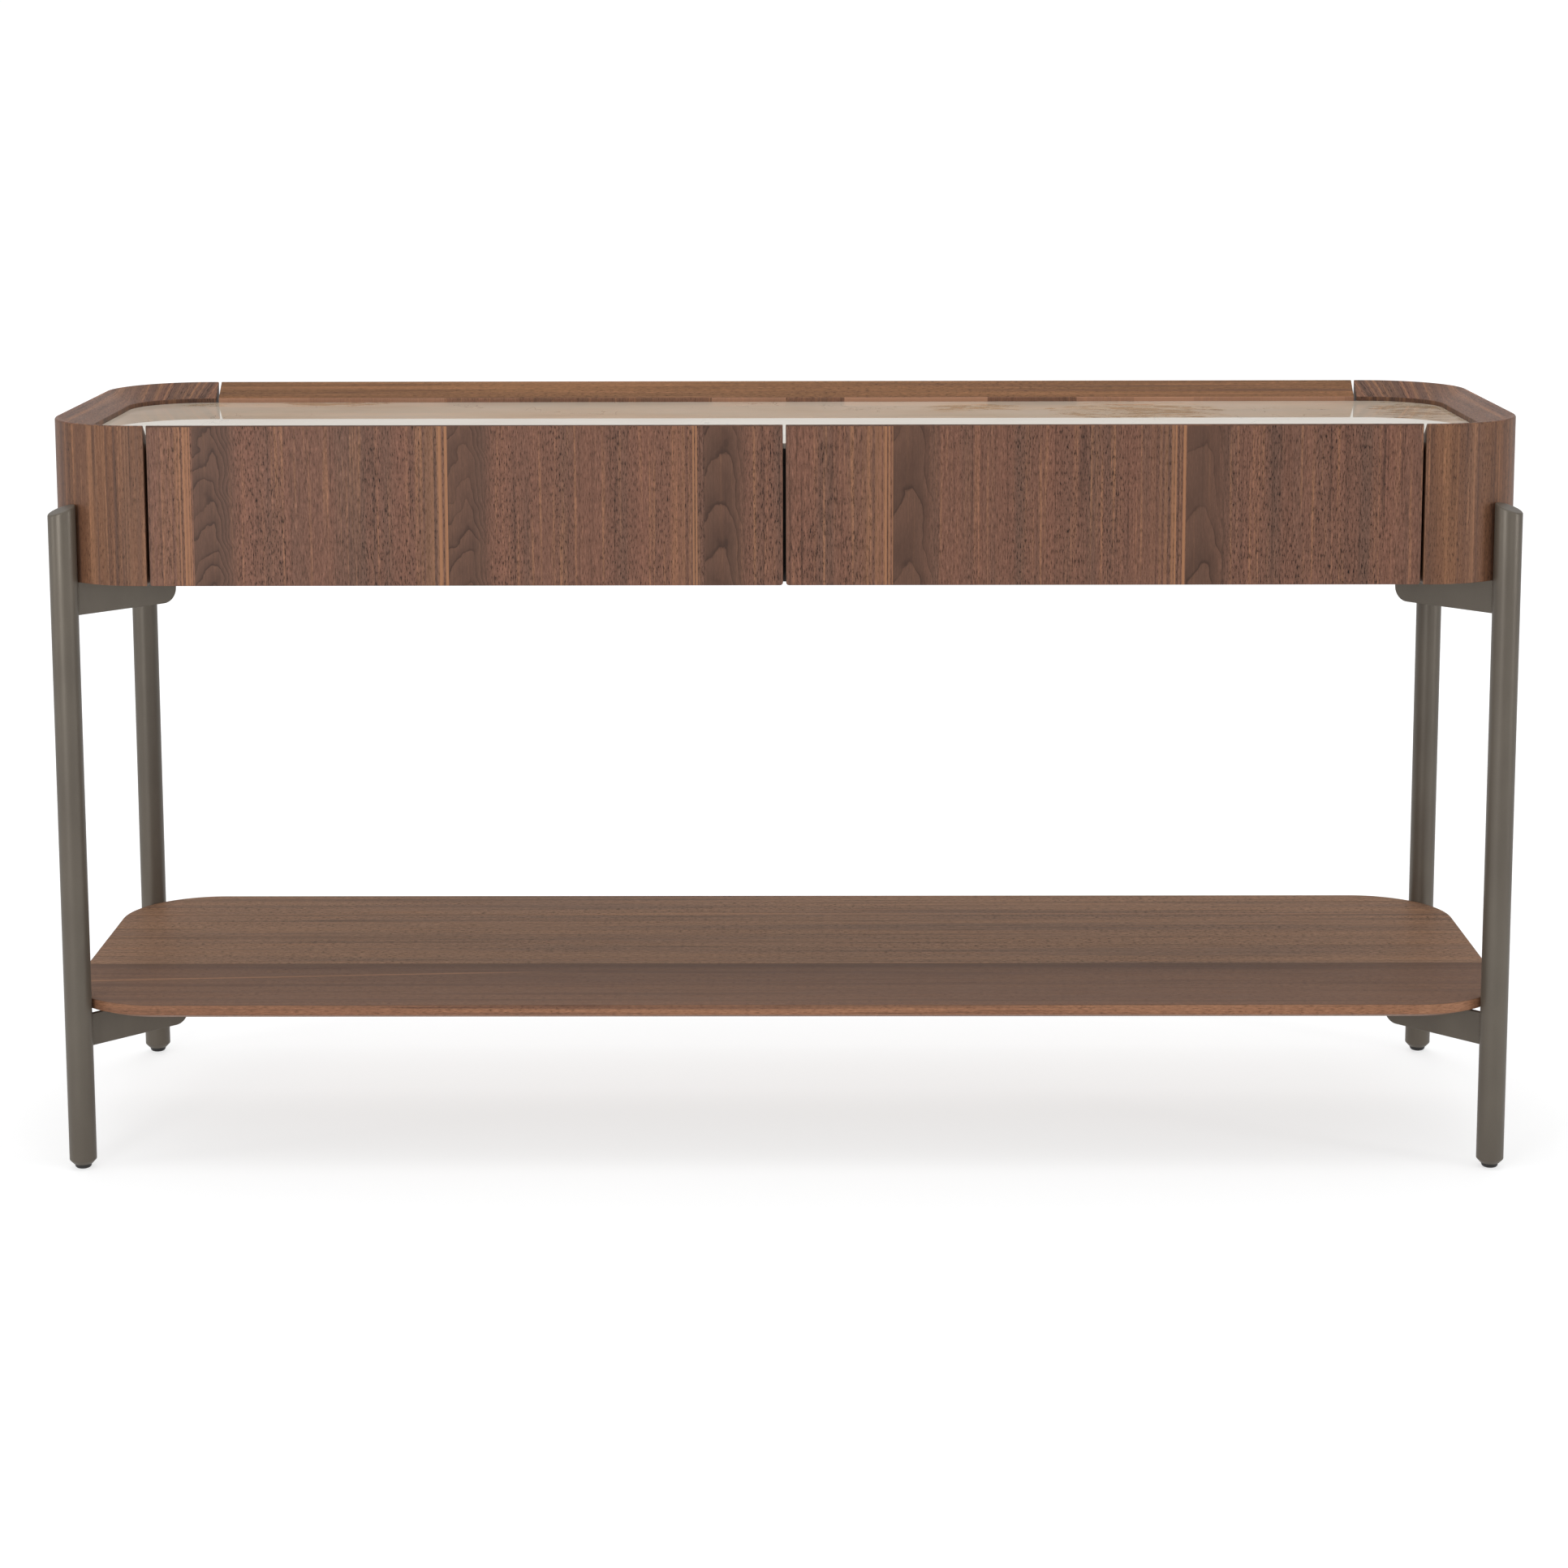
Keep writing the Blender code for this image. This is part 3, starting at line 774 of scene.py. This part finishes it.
def add_end_shell(word, side, woods):
    """U-shaped end of the body in bent veneer, with a sloping top."""
    stations = end_path(side)
    rings = []
    for x, y, nx, ny, _ in stations:
        rings.append([Vector((x - nx * inward, y - ny * inward, BODY_Z + height))
                      for inward, height in rim_section(RIM_THICKNESS)])
    middle = HALF_D - RIM_THICKNESS / 2
    # The slope's grain runs along Y, and slants in the last stretch before its seams.
    seam_length = 0.07
    seam_slant = 0.42
    # Takes the two ends from different parts of the veneer.
    apart = 0.3

    def mapping(j, point, i):
        if j in (EDGE, SLOPE):
            out = side * point.x
            share = min(max((HALF_W - RIM_THICKNESS - out) / seam_length, 0.0), 1.0)
            return (out + seam_slant * share * (abs(point.y) - middle), point.y)
        return (stations[i][4] + apart * side, point.z)

    bm = skin(rings, mapping, 3, lambda co: (abs(co.y), co.z))
    item = make_piece(f"end_shell_{word}_veneered", bm, woods)
    soften(item, VENEER_SOFT)
    stand_for(item, "walnut", f"end_shell_{word}")


def add_back_rail(woods):
    """Straight back of the body, with the grain of its slope along X."""
    low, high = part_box("back_rail")
    steps = 14
    closer_grain = 1.25
    rings = []
    for i in range(steps + 1):
        x = low.x + (high.x - low.x) * i / steps
        rings.append([Vector((x, high.y - inward, BODY_Z + height))
                      for inward, height in rim_section(RIM_THICKNESS)])

    def mapping(j, point, i):
        if j in (EDGE, SLOPE):
            return (point.y * closer_grain, point.x)
        return (point.x, point.z)

    item = make_piece("back_rail_veneered", skin(rings, mapping, 0, lambda co: (co.y, co.z)), woods)
    soften(item, VENEER_SOFT)
    stand_for(item, "walnut", "back_rail")


def add_drawer_front(word, woods):
    """Drawer front veneered in leaves, with softly rounded lower corners."""
    low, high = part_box(f"{word}_drawer_front")
    cuts = [low.x]
    for start, _, _ in LEAVES[word]:
        if low.x < start < high.x:
            cuts.append(start)
    cuts.append(high.x)
    bm = bmesh.new()
    grain = bm.loops.layers.uv.new("Grain")
    leaf_map = bm.loops.layers.uv.new("Leaf")
    section = rim_section(FRONT_DEPTH)
    loops = lay_rings(bm, [[(x, low.y + inward, BODY_Z + height) for inward, height in section]
                           for x in cuts])
    for i, j, _, face in band_faces(bm, loops):
        middle = (cuts[i] + cuts[i + 1]) / 2
        start, end, seed = [leaf for leaf in LEAVES[word] if leaf[0] < middle < leaf[1]][0]
        face.material_index = FRONT_SLOTS[j]
        for loop in face.loops:
            point = loop.vert.co
            if j in (EDGE, SLOPE):
                loop[grain].uv = (point.y, point.x)
            else:
                loop[grain].uv = (point.x - start, point.z - BODY_Z)
            loop[leaf_map].uv = (end - point.x, seed)
    close_ends(bm, loops, grain, 2, lambda co: (co.y, co.z))
    lower = [edge for edge in bm.edges
             if all(abs(v.co.z - BODY_Z) < 1e-6 for v in edge.verts)
             and abs(edge.verts[0].co.x - edge.verts[1].co.x) < 1e-6
             and min(abs(edge.verts[0].co.x - low.x), abs(edge.verts[0].co.x - high.x)) < 1e-6]
    bmesh.ops.bevel(bm, geom=lower, offset=FRONT_CORNER_ROUND, segments=4, profile=0.5,
                    affect="EDGES")
    item = make_piece(f"{word}_drawer_front_veneered", bm, woods, f"{word}_drawer")
    soften(item, VENEER_SOFT)
    stand_for(item, "walnut", f"{word}_drawer_front")


def add_plan_slab(name, levels, materials, slot, node, rounding):
    """Slab of (inset, z) levels; materials are (top and bottom, edge)."""
    rings = [[Vector((x, y, z)) for x, y in rounded_plan(inset)] for inset, z in levels]
    outline = rings[0]
    runs = [0.0]
    for first, second in zip(outline, outline[1:]):
        runs.append(runs[-1] + (second - first).length)
    closing = runs[-1] + (outline[0] - outline[-1]).length
    bm = bmesh.new()
    layer = bm.loops.layers.uv.new("Grain")
    loops = lay_rings(bm, rings)
    for i, j, k, face in band_faces(bm, loops):
        face.material_index = 1
        far = closing if k == 0 else runs[k]
        set_uv(face, layer, [(rings[i][j].z, runs[j]), (rings[i][k].z, far),
                             (rings[i + 1][k].z, far), (rings[i + 1][j].z, runs[j])])
    close_ends(bm, loops, layer, 0, lambda co: (co.y, co.x))
    item = make_piece(name, bm, materials)
    soften(item, rounding)
    stand_for(item, slot, node)


def add_body():
    fronts = front_walnut()
    ends = striped_walnut("walnut_end_veneer", END_TONES, 3.0)
    slopes = striped_walnut("walnut_slope_veneer", SLOPE_TONES, 4.0, fine=0.8, streaky=1.1)
    rail = striped_walnut("walnut_rail_veneer", RAIL_TONES, 6.0, fine=0.6, streaky=0.8)
    edges = striped_walnut("walnut_edge_band", BAND_TONES, 8.0, streaky=0.5)
    lip = lip_walnut()
    for word, side in SIDES.items():
        add_end_shell(word, side, [ends, slopes, edges, edges])
        add_drawer_front(word, [fronts, rail, edges])
    add_back_rail([ends, rail, lip])
    stone = veined_stone()
    inset = HALF_W - STONE_HIGH.x
    add_plan_slab("stone_top_polished", [(inset, STONE_LOW.z), (inset, STONE_HIGH.z)],
                  [stone, stone], "stone", "stone_top", STONE_SOFT)
    shelf_top = shelf_walnut()
    shelf_edge = striped_walnut("walnut_shelf_edge", SHELF_EDGE_TONES, 9.0, streaky=1.0)
    levels = [(SHELF_UNDERCUT, SHELF_LOW.z), (0.0, SHELF_HIGH.z - SHELF_EDGE),
              (0.0, SHELF_HIGH.z)]
    add_plan_slab("shelf_veneered", levels, [shelf_top, shelf_edge], "shelf_walnut", "shelf",
                  SHELF_SOFT)


# ---- Carcass, drawers, runners and latches ---------------------------------
def add_board(node, material, body, slot, top_rounding=0.0):
    """A board in the place of a CAD board, with rounded edges."""
    low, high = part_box(node)
    size = high - low
    bm = bmesh.new()
    bmesh.ops.create_cube(bm, size=1.0)
    bmesh.ops.scale(bm, vec=size, verts=bm.verts)
    bmesh.ops.translate(bm, vec=(low + high) / 2, verts=bm.verts)
    if top_rounding:
        longest = 0 if size.x > size.y else 1
        crest = [edge for edge in bm.edges
                 if all(v.co.z > high.z - 1e-6 for v in edge.verts)
                 and abs(edge.verts[0].co[longest] - edge.verts[1].co[longest]) > 1e-3]
        bmesh.ops.bevel(bm, geom=crest, offset=top_rounding, segments=4, profile=0.5,
                        affect="EDGES")
    item = make_piece(f"{node}_finished", bm, [material], body)
    soften(item, BOARD_SOFT, segments=2)
    stand_for(item, slot, node)


def add_panel(node, material):
    low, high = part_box(node)
    inset = HALF_W - high.x
    add_plan_slab(f"{node}_finished", [(inset, low.z), (inset, high.z)], [material, material],
                  "carcass_board", node, BOARD_SOFT)


def add_channel(node, body, steel):
    """Rolled channel with rounded bends, in the place of a CAD rail."""
    item = make_piece(f"{node}_rolled", cad_copy(node), [steel], body)
    soften(item, RAIL_SOFT, segments=2)
    stand_for(item, "zinc_steel", node)


def add_latch(word, housing_plastic, pin_plastic):
    """Push latch: a moulded housing, and its grooved pin, which is a body of its own."""
    housing = f"{word}_latch_housing"
    item = make_piece(f"{housing}_moulded", cad_copy(housing), [housing_plastic])
    soften(item, LATCH_SOFT, angle=40.0)
    stand_for(item, "grey_plastic", housing)
    pin = f"{word}_latch_pin"
    low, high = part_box(pin)
    centre = (low + high) / 2
    radius = (high.x - low.x) / 2
    length = high.y - low.y
    profile = [(0.0, 0.0)] + [(radius - cut, along) for cut, along in PIN_CUTS]
    profile += [(radius, length), (0.0, length)]
    bm = lathe(profile, PIN_SIDES)
    # Lay the upright pin along Y, with its nose to the front.
    for vert in bm.verts:
        x, y, z = vert.co
        vert.co = Vector((centre.x + x, low.y + z, centre.z + y))
    item = make_piece(f"{pin}_moulded", bm, [pin_plastic], pin)
    sharpen(item, 50)
    stand_for(item, "black_plastic", pin)


def add_drawers():
    dark = board_material("carcass_board", srgb(52, 47, 43), srgb(38, 34, 31), ALONG_X,
                          0.55)
    add_panel("top_panel", dark)
    add_panel("bottom_panel", dark)
    upright = board_material("carcass_board_upright", srgb(50, 45, 41), srgb(37, 33, 30),
                             ALONG_Y, 0.55)
    for node in ("carcass_side_left", "carcass_side_right", "centre_divider"):
        add_board(node, upright, "table", "carcass_board")
    light = srgb(150, 112, 86)
    deep = srgb(112, 80, 62)
    walls = board_material("drawer_board_sides", light, deep, ALONG_Y)
    backs = board_material("drawer_board_backs", light, deep, ALONG_X)
    floors = board_material("drawer_floor", srgb(126, 98, 80), srgb(100, 76, 62), ALONG_X, 0.6)
    steel = zinc_steel()
    grey = plastic("grey_plastic", srgb(96, 97, 98))
    black = plastic("black_plastic", srgb(40, 40, 41))
    for word in SIDES:
        body = f"{word}_drawer"
        for part in ("inner_side", "outer_side"):
            add_board(f"{body}_{part}", walls, body, "drawer_board", WALL_TOP_ROUND)
        add_board(f"{body}_back", backs, body, "drawer_board", WALL_TOP_ROUND)
        add_board(f"{body}_bottom", floors, body, "drawer_board")
        for place in ("inner", "outer"):
            rails = {"cabinet": "table", "middle": f"{word}_middle_rails", "drawer": body}
            for rail, rides_on in rails.items():
                add_channel(f"{word}_{place}_runner_{rail}_rail", rides_on, steel)
        add_latch(word, grey, black)


# ---- Legs, brackets and glides ---------------------------------------------
def leg_axis(corner):
    low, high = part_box(f"leg_{corner}")
    return (low.x + high.x) / 2, (low.y + high.y) / 2


def add_leg(corner, sx, sy, paint):
    """Round leg: rounded slanting top, bevelled foot and the socket for its glide."""
    cx, cy = leg_axis(corner)

    def ring(radius, z, slanted=False):
        points = []
        for c, s in circle(LEG_SIDES):
            x = radius * c
            y = radius * s
            fall = sx * LEG_CUT_SLOPE[0] * x + sy * LEG_CUT_SLOPE[1] * y if slanted else 0.0
            points.append(Vector((cx + x, cy + y, z - fall)))
        return points

    rings = [ring(radius, z) for radius, z in LEG_PROFILE]
    for c, s in quarter(0, LEG_ROUND_STEPS):
        rings.append(ring(LEG_RADIUS - LEG_TOP_ROUND + LEG_TOP_ROUND * c,
                          LEG_TOP_Z - LEG_TOP_ROUND + LEG_TOP_ROUND * s, True))
    rings.append(ring(LEG_RADIUS * 0.5, LEG_TOP_Z, True))
    bm = bmesh.new()
    loops = lay_rings(bm, rings)
    join_all(bm, loops)
    join_rings(bm, [bm.verts.new((cx, cy, LEG_PROFILE[0][1]))], loops[0])
    join_rings(bm, loops[-1], [bm.verts.new((cx, cy, LEG_TOP_Z))])
    item = make_piece(f"leg_{corner}_painted", bm, [paint])
    sharpen(item, 40)
    stand_for(item, "bronze_paint", f"leg_{corner}", f"leg_end_{corner}")


def add_glide(corner, black):
    """Levelling glide: a domed pad on a threaded stud."""
    profile = list(GLIDE_PAD)
    z = THREAD_START
    while z < THREAD_END:
        profile += [(THREAD_CREST, z), (THREAD_CREST, z + THREAD_FLAT),
                    (THREAD_ROOT, z + THREAD_FALL)]
        z += THREAD_PITCH
    profile += GLIDE_TIP
    bm = lathe(profile, GLIDE_SIDES, leg_axis(corner))
    item = make_piece(f"levelling_glide_{corner}_moulded", bm, [black], f"glide_{corner}")
    sharpen(item, 38)
    stand_for(item, "black_plastic", f"levelling_glide_{corner}")


def bracket_outline():
    """(along, up) points of the plate, from the flange's start round to its end."""
    start = LEG_RADIUS + FIT_GAP
    points = [(FLANGE_START, 0.0), (start, 0.0), (start, -BRACKET_HEIGHT)]
    for c, s in quarter(-90, BRACKET_ROUND_STEPS):
        points.append((BRACKET_REACH - BRACKET_ROUND + BRACKET_ROUND * c,
                       -BRACKET_HEIGHT + BRACKET_ROUND + BRACKET_ROUND * s))
    points += [(BRACKET_REACH, 0.0), (FLANGE_END, 0.0)]
    return points


def bracket_frame(corner, sx, sy):
    """Turns (along the plate, across it, up) into world places for one corner."""
    cx, cy = leg_axis(corner)
    ux, uy = -sx * math.sqrt(0.5), -sy * math.sqrt(0.5)

    def place(s, w, z):
        return Vector((cx + s * ux - w * uy, cy + s * uy + w * ux, z))

    return place


def add_bracket(node, corner, sx, sy, paint, steel):
    """Upright plate with a screwed flange, welded to its leg."""
    top_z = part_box(node)[1].z
    place = bracket_frame(corner, sx, sy)
    side = sx * sy
    half = BRACKET_PLATE / 2
    outline = bracket_outline()
    bm = bmesh.new()
    near = [bm.verts.new(place(s, -side * half, top_z + h)) for s, h in outline]
    far = [bm.verts.new(place(s, side * half, top_z + h)) for s, h in outline]
    notch = [bm.verts.new(place(s, side * half, top_z - FLANGE_THICKNESS))
             for s in (FLANGE_END, FLANGE_START)]
    outer = side * (half + FLANGE_WIDTH)
    rim = [bm.verts.new(place(s, outer, top_z + h)) for s, h in (
        (FLANGE_START, 0.0), (FLANGE_END, 0.0),
        (FLANGE_END, -FLANGE_THICKNESS), (FLANGE_START, -FLANGE_THICKNESS))]
    bm.faces.new(near)
    bm.faces.new(far + notch)
    for i in range(len(outline)):
        j = (i + 1) % len(outline)
        bm.faces.new((near[i], near[j], far[j], far[i]))
    bm.faces.new((far[-1], far[0], rim[0], rim[1]))
    bm.faces.new((far[-1], rim[1], rim[2], notch[0]))
    bm.faces.new((notch[0], rim[2], rim[3], notch[1]))
    bm.faces.new((notch[1], rim[3], rim[0], far[0]))
    bm.faces.new(rim)
    item = make_piece(f"{node}_painted", bm, [paint])
    soften(item, PLATE_SOFT)
    stand_for(item, "bronze_paint", node)
    add_weld(node, place, top_z, paint)
    add_screws(node, place, side, top_z, steel)


def add_weld(node, place, top_z, paint):
    """Weld beads down both sides of the plate, painted with it."""
    bm = bmesh.new()
    for across in (-1, 1):
        middle = across * (BRACKET_PLATE / 2 + WELD_OFF_PLATE)
        rings = []
        for i in range(WELD_STEPS + 1):
            share = i / WELD_STEPS
            ripple = 1.0 + WELD_RIPPLE * math.sin(share * math.tau * WELD_RIPPLES)
            taper = min(1.0, WELD_END_SIZE + WELD_TAPER * min(share, 1.0 - share))
            radius = WELD_RADIUS * ripple * taper
            z = top_z - WELD_END_GAP - share * (BRACKET_HEIGHT - 2 * WELD_END_GAP)
            rings.append([place(LEG_RADIUS + WELD_OFF_LEG + radius * c, middle + radius * s, z)
                          for c, s in circle(WELD_SIDES)])
        loops = lay_rings(bm, rings)
        join_all(bm, loops)
        bm.faces.new(loops[0])
        bm.faces.new(loops[-1])
    item = make_piece(f"{node}_weld", bm, [paint])


def hexagon(half_width):
    """(x, y) points of a hexagon with as many points as a screw head's ring."""
    points = []
    for k in range(SCREW_SIDES):
        angle = math.tau * k / SCREW_SIDES
        sector = (angle + math.pi / 6) % (math.pi / 3) - math.pi / 6
        radius = half_width / math.cos(sector)
        points.append((radius * math.cos(angle), radius * math.sin(angle)))
    return points


def add_screws(node, place, side, top_z, steel):
    """Two pan-head screws with a hexagon socket under the flange."""
    bm = bmesh.new()
    across = side * (BRACKET_PLATE / 2 + FLANGE_WIDTH * SCREW_ACROSS)
    under = top_z - FLANGE_THICKNESS
    outlines = [([(radius * c, radius * s) for c, s in circle(SCREW_SIDES)], drop)
                for radius, drop in SCREW_HEAD]
    outlines += [(hexagon(HEXAGON_HALF_WIDTH), drop) for drop in HEXAGON_DROPS]
    for along in (FLANGE_START + SCREW_INSET, FLANGE_END - SCREW_INSET):
        loops = lay_rings(bm, [[place(along + x, across + y, under + drop) for x, y in outline]
                               for outline, drop in outlines])
        join_all(bm, loops)
        bm.faces.new(loops[0])
        bm.faces.new(loops[-1])
    item = make_piece(f"{node}_screws", bm, [steel])
    sharpen(item, 35)


def add_underframe():
    paint = bronze_paint()
    black = plastic("glide_plastic", srgb(42, 40, 39), 0.36)
    steel = zinc_steel()
    for corner, (sx, sy) in CORNERS.items():
        add_leg(corner, sx, sy, paint)
        add_glide(corner, black)
        for level in ("upper", "lower"):
            add_bracket(f"{level}_bracket_{corner}", corner, sx, sy, paint, steel)


# ---- Stage: floor, light and camera ----------------------------------------
WHITE = (1.0, 1.0, 1.0, 1.0)
SKY_SEEN = 1.02
# Brightness of the dome by height of the direction, 0 at the horizon.
DOME_FRONT = ((0.0, 0.22), (0.20, 0.26), (0.50, 0.42), (1.0, 1.0))
DOME_BACK = ((0.0, 0.64), (0.14, 0.70), (0.24, 0.50), (0.55, 0.80), (1.0, 1.0))
FLOOR_GREY = (0.388, 0.394, 0.398, 1.0)
FLOOR_PALE = (0.396, 0.402, 0.406, 1.0)
FLOOR_HALF = 60.0
FLOOR_GAP = 0.0002
FLOOR_GLOW_SEEN = 0.692
FLOOR_GLOW_FAR = 0.860
FLOOR_GLOW = 0.42

# Soft lights: name, place, aim, width, height, watts, whether gloss mirrors them.
MIDDLE = (0.0, 0.0, 0.4)
SOFTBOXES = (
    ("softbox_left", (-1.75, -3.3, 0.95), MIDDLE, 1.4, 1.85, 43.0, True),
    ("softbox_right", (1.9, -3.4, 0.95), MIDDLE, 0.5, 1.85, 6.0, True),
    ("softbox_far_right", (3.4, -1.6, 0.95), MIDDLE, 0.8, 1.85, 26.0, True),
    ("softbox_far_left", (-3.4, -1.2, 0.95), MIDDLE, 0.8, 1.85, 14.0, True),
    ("softbox_top", (0.0, -0.4, 2.8), (0.0, 0.0, 0.0), 3.4, 2.4, 31.0, False),
    ("softbox_back", (0.0, 2.3, 1.9), (0.0, 0.1, 0.2), 3.0, 0.9, 26.0, False),
)

CAMERA_PLACE = (0.0149, -3.5596, 1.1488)
CAMERA_LENS = 76.98
CAMERA_SHIFT = -0.15
# How far the camera tips down, rolls and turns, in radians.
CAMERA_DOWN = 0.1478
CAMERA_ROLL = 0.0021
CAMERA_TURN = 0.0043


def add_floor():
    """Large pale floor that stays just under white, so that shadows show softly.

    It glows less towards the table than it shows, so that undersides stay dark."""
    g = new_material("studio_floor")
    place = g.place()
    tone = g.noise(place, (1.2, 1.2, 1.0), 3.0)
    colour = g.ramp(tone, [(0.3, FLOOR_GREY), (0.7, FLOOR_PALE)])
    g.finish(colour, 0.9, Specular_IOR_Level=0.0)
    seen = g.add("ShaderNodeLightPath").outputs["Is Camera Ray"]
    away = g.add("ShaderNodeVectorMath", operation="LENGTH")
    g.put(away.inputs[0], place)
    shown = g.span(away.outputs["Value"], 0.9, 3.5, FLOOR_GLOW_SEEN, FLOOR_GLOW_FAR)
    glow = g.fit(seen, g.math("SUBTRACT", shown, FLOOR_GLOW), FLOOR_GLOW)
    g.put(g.shader.inputs["Emission Color"], WHITE)
    g.put(g.shader.inputs["Emission Strength"], glow)
    bm = bmesh.new()
    bmesh.ops.create_grid(bm, x_segments=8, y_segments=8, size=FLOOR_HALF)
    mesh = bpy.data.meshes.new("studio_floor")
    bm.to_mesh(mesh)
    bm.free()
    mesh.materials.append(g.owner)
    floor = bpy.data.objects.new("studio_floor", mesh)
    bpy.context.scene.collection.objects.link(floor)
    floor.location = (0.0, 0.0, CAD_LOW.z - FLOOR_GAP)


def add_world():
    """White to the camera; a soft dome, brighter behind, to everything else."""
    world = bpy.data.worlds.new("studio")
    bpy.context.scene.world = world
    g = Graph(world)
    g.tree.nodes.clear()
    _, backwards, up = g.split(g.add("ShaderNodeTexCoord").outputs["Generated"])
    halves = []
    for levels in (DOME_FRONT, DOME_BACK):
        halves.append(g.ramp(up, [(height, (level, level, level, 1.0))
                                  for height, level in levels]))
    dome = g.add("ShaderNodeBackground")
    g.put(dome.inputs["Color"], g.mix(g.span(backwards, 0.25, 0.85), *halves))
    sky = g.add("ShaderNodeBackground")
    g.put(sky.inputs["Color"], WHITE)
    g.put(sky.inputs["Strength"], SKY_SEEN)
    seen = g.add("ShaderNodeLightPath").outputs["Is Camera Ray"]
    blend = g.add("ShaderNodeMixShader")
    for socket, item in zip(blend.inputs, (seen, dome.outputs[0], sky.outputs[0])):
        g.put(socket, item)
    g.put(g.add("ShaderNodeOutputWorld").inputs[0], blend.outputs[0])


def add_softbox(name, place, aim, width, height, power, mirrored):
    """Rectangular light that fades towards its edges."""
    light = bpy.data.lights.new(name, "AREA")
    light.shape = "RECTANGLE"
    light.size = width
    light.size_y = height
    light.energy = power
    g = Graph(light)
    x, y, _ = g.split(g.add("ShaderNodeNewGeometry").outputs["Parametric"])
    fades = [g.span(g.math("PINGPONG", position, 0.5), 0.0, 0.42, 0.0, 1.5)
             for position in (x, y)]
    g.put(g.tree.nodes["Emission"].inputs["Strength"], g.times(*fades))
    item = bpy.data.objects.new(name, light)
    item.location = place
    item.rotation_mode = "QUATERNION"
    direction = Vector(aim) - Vector(place)
    item.rotation_quaternion = direction.to_track_quat("-Z", "Y")
    item.visible_camera = False
    item.visible_glossy = mirrored
    bpy.context.scene.collection.objects.link(item)


def add_camera():
    camera = bpy.data.cameras.new("camera")
    camera.sensor_width = 36.0
    camera.lens = CAMERA_LENS
    camera.shift_y = CAMERA_SHIFT
    camera.clip_start = 0.05
    camera.clip_end = 200.0
    item = bpy.data.objects.new("camera", camera)
    item.location = CAMERA_PLACE
    item.rotation_euler = (math.pi / 2 - CAMERA_DOWN, CAMERA_ROLL, CAMERA_TURN)
    bpy.context.scene.collection.objects.link(item)
    bpy.context.scene.camera = item


bpy.context.scene.view_settings.view_transform = "Standard"
add_body()
add_drawers()
add_underframe()
add_floor()
add_world()
for softbox in SOFTBOXES:
    add_softbox(*softbox)
add_camera()
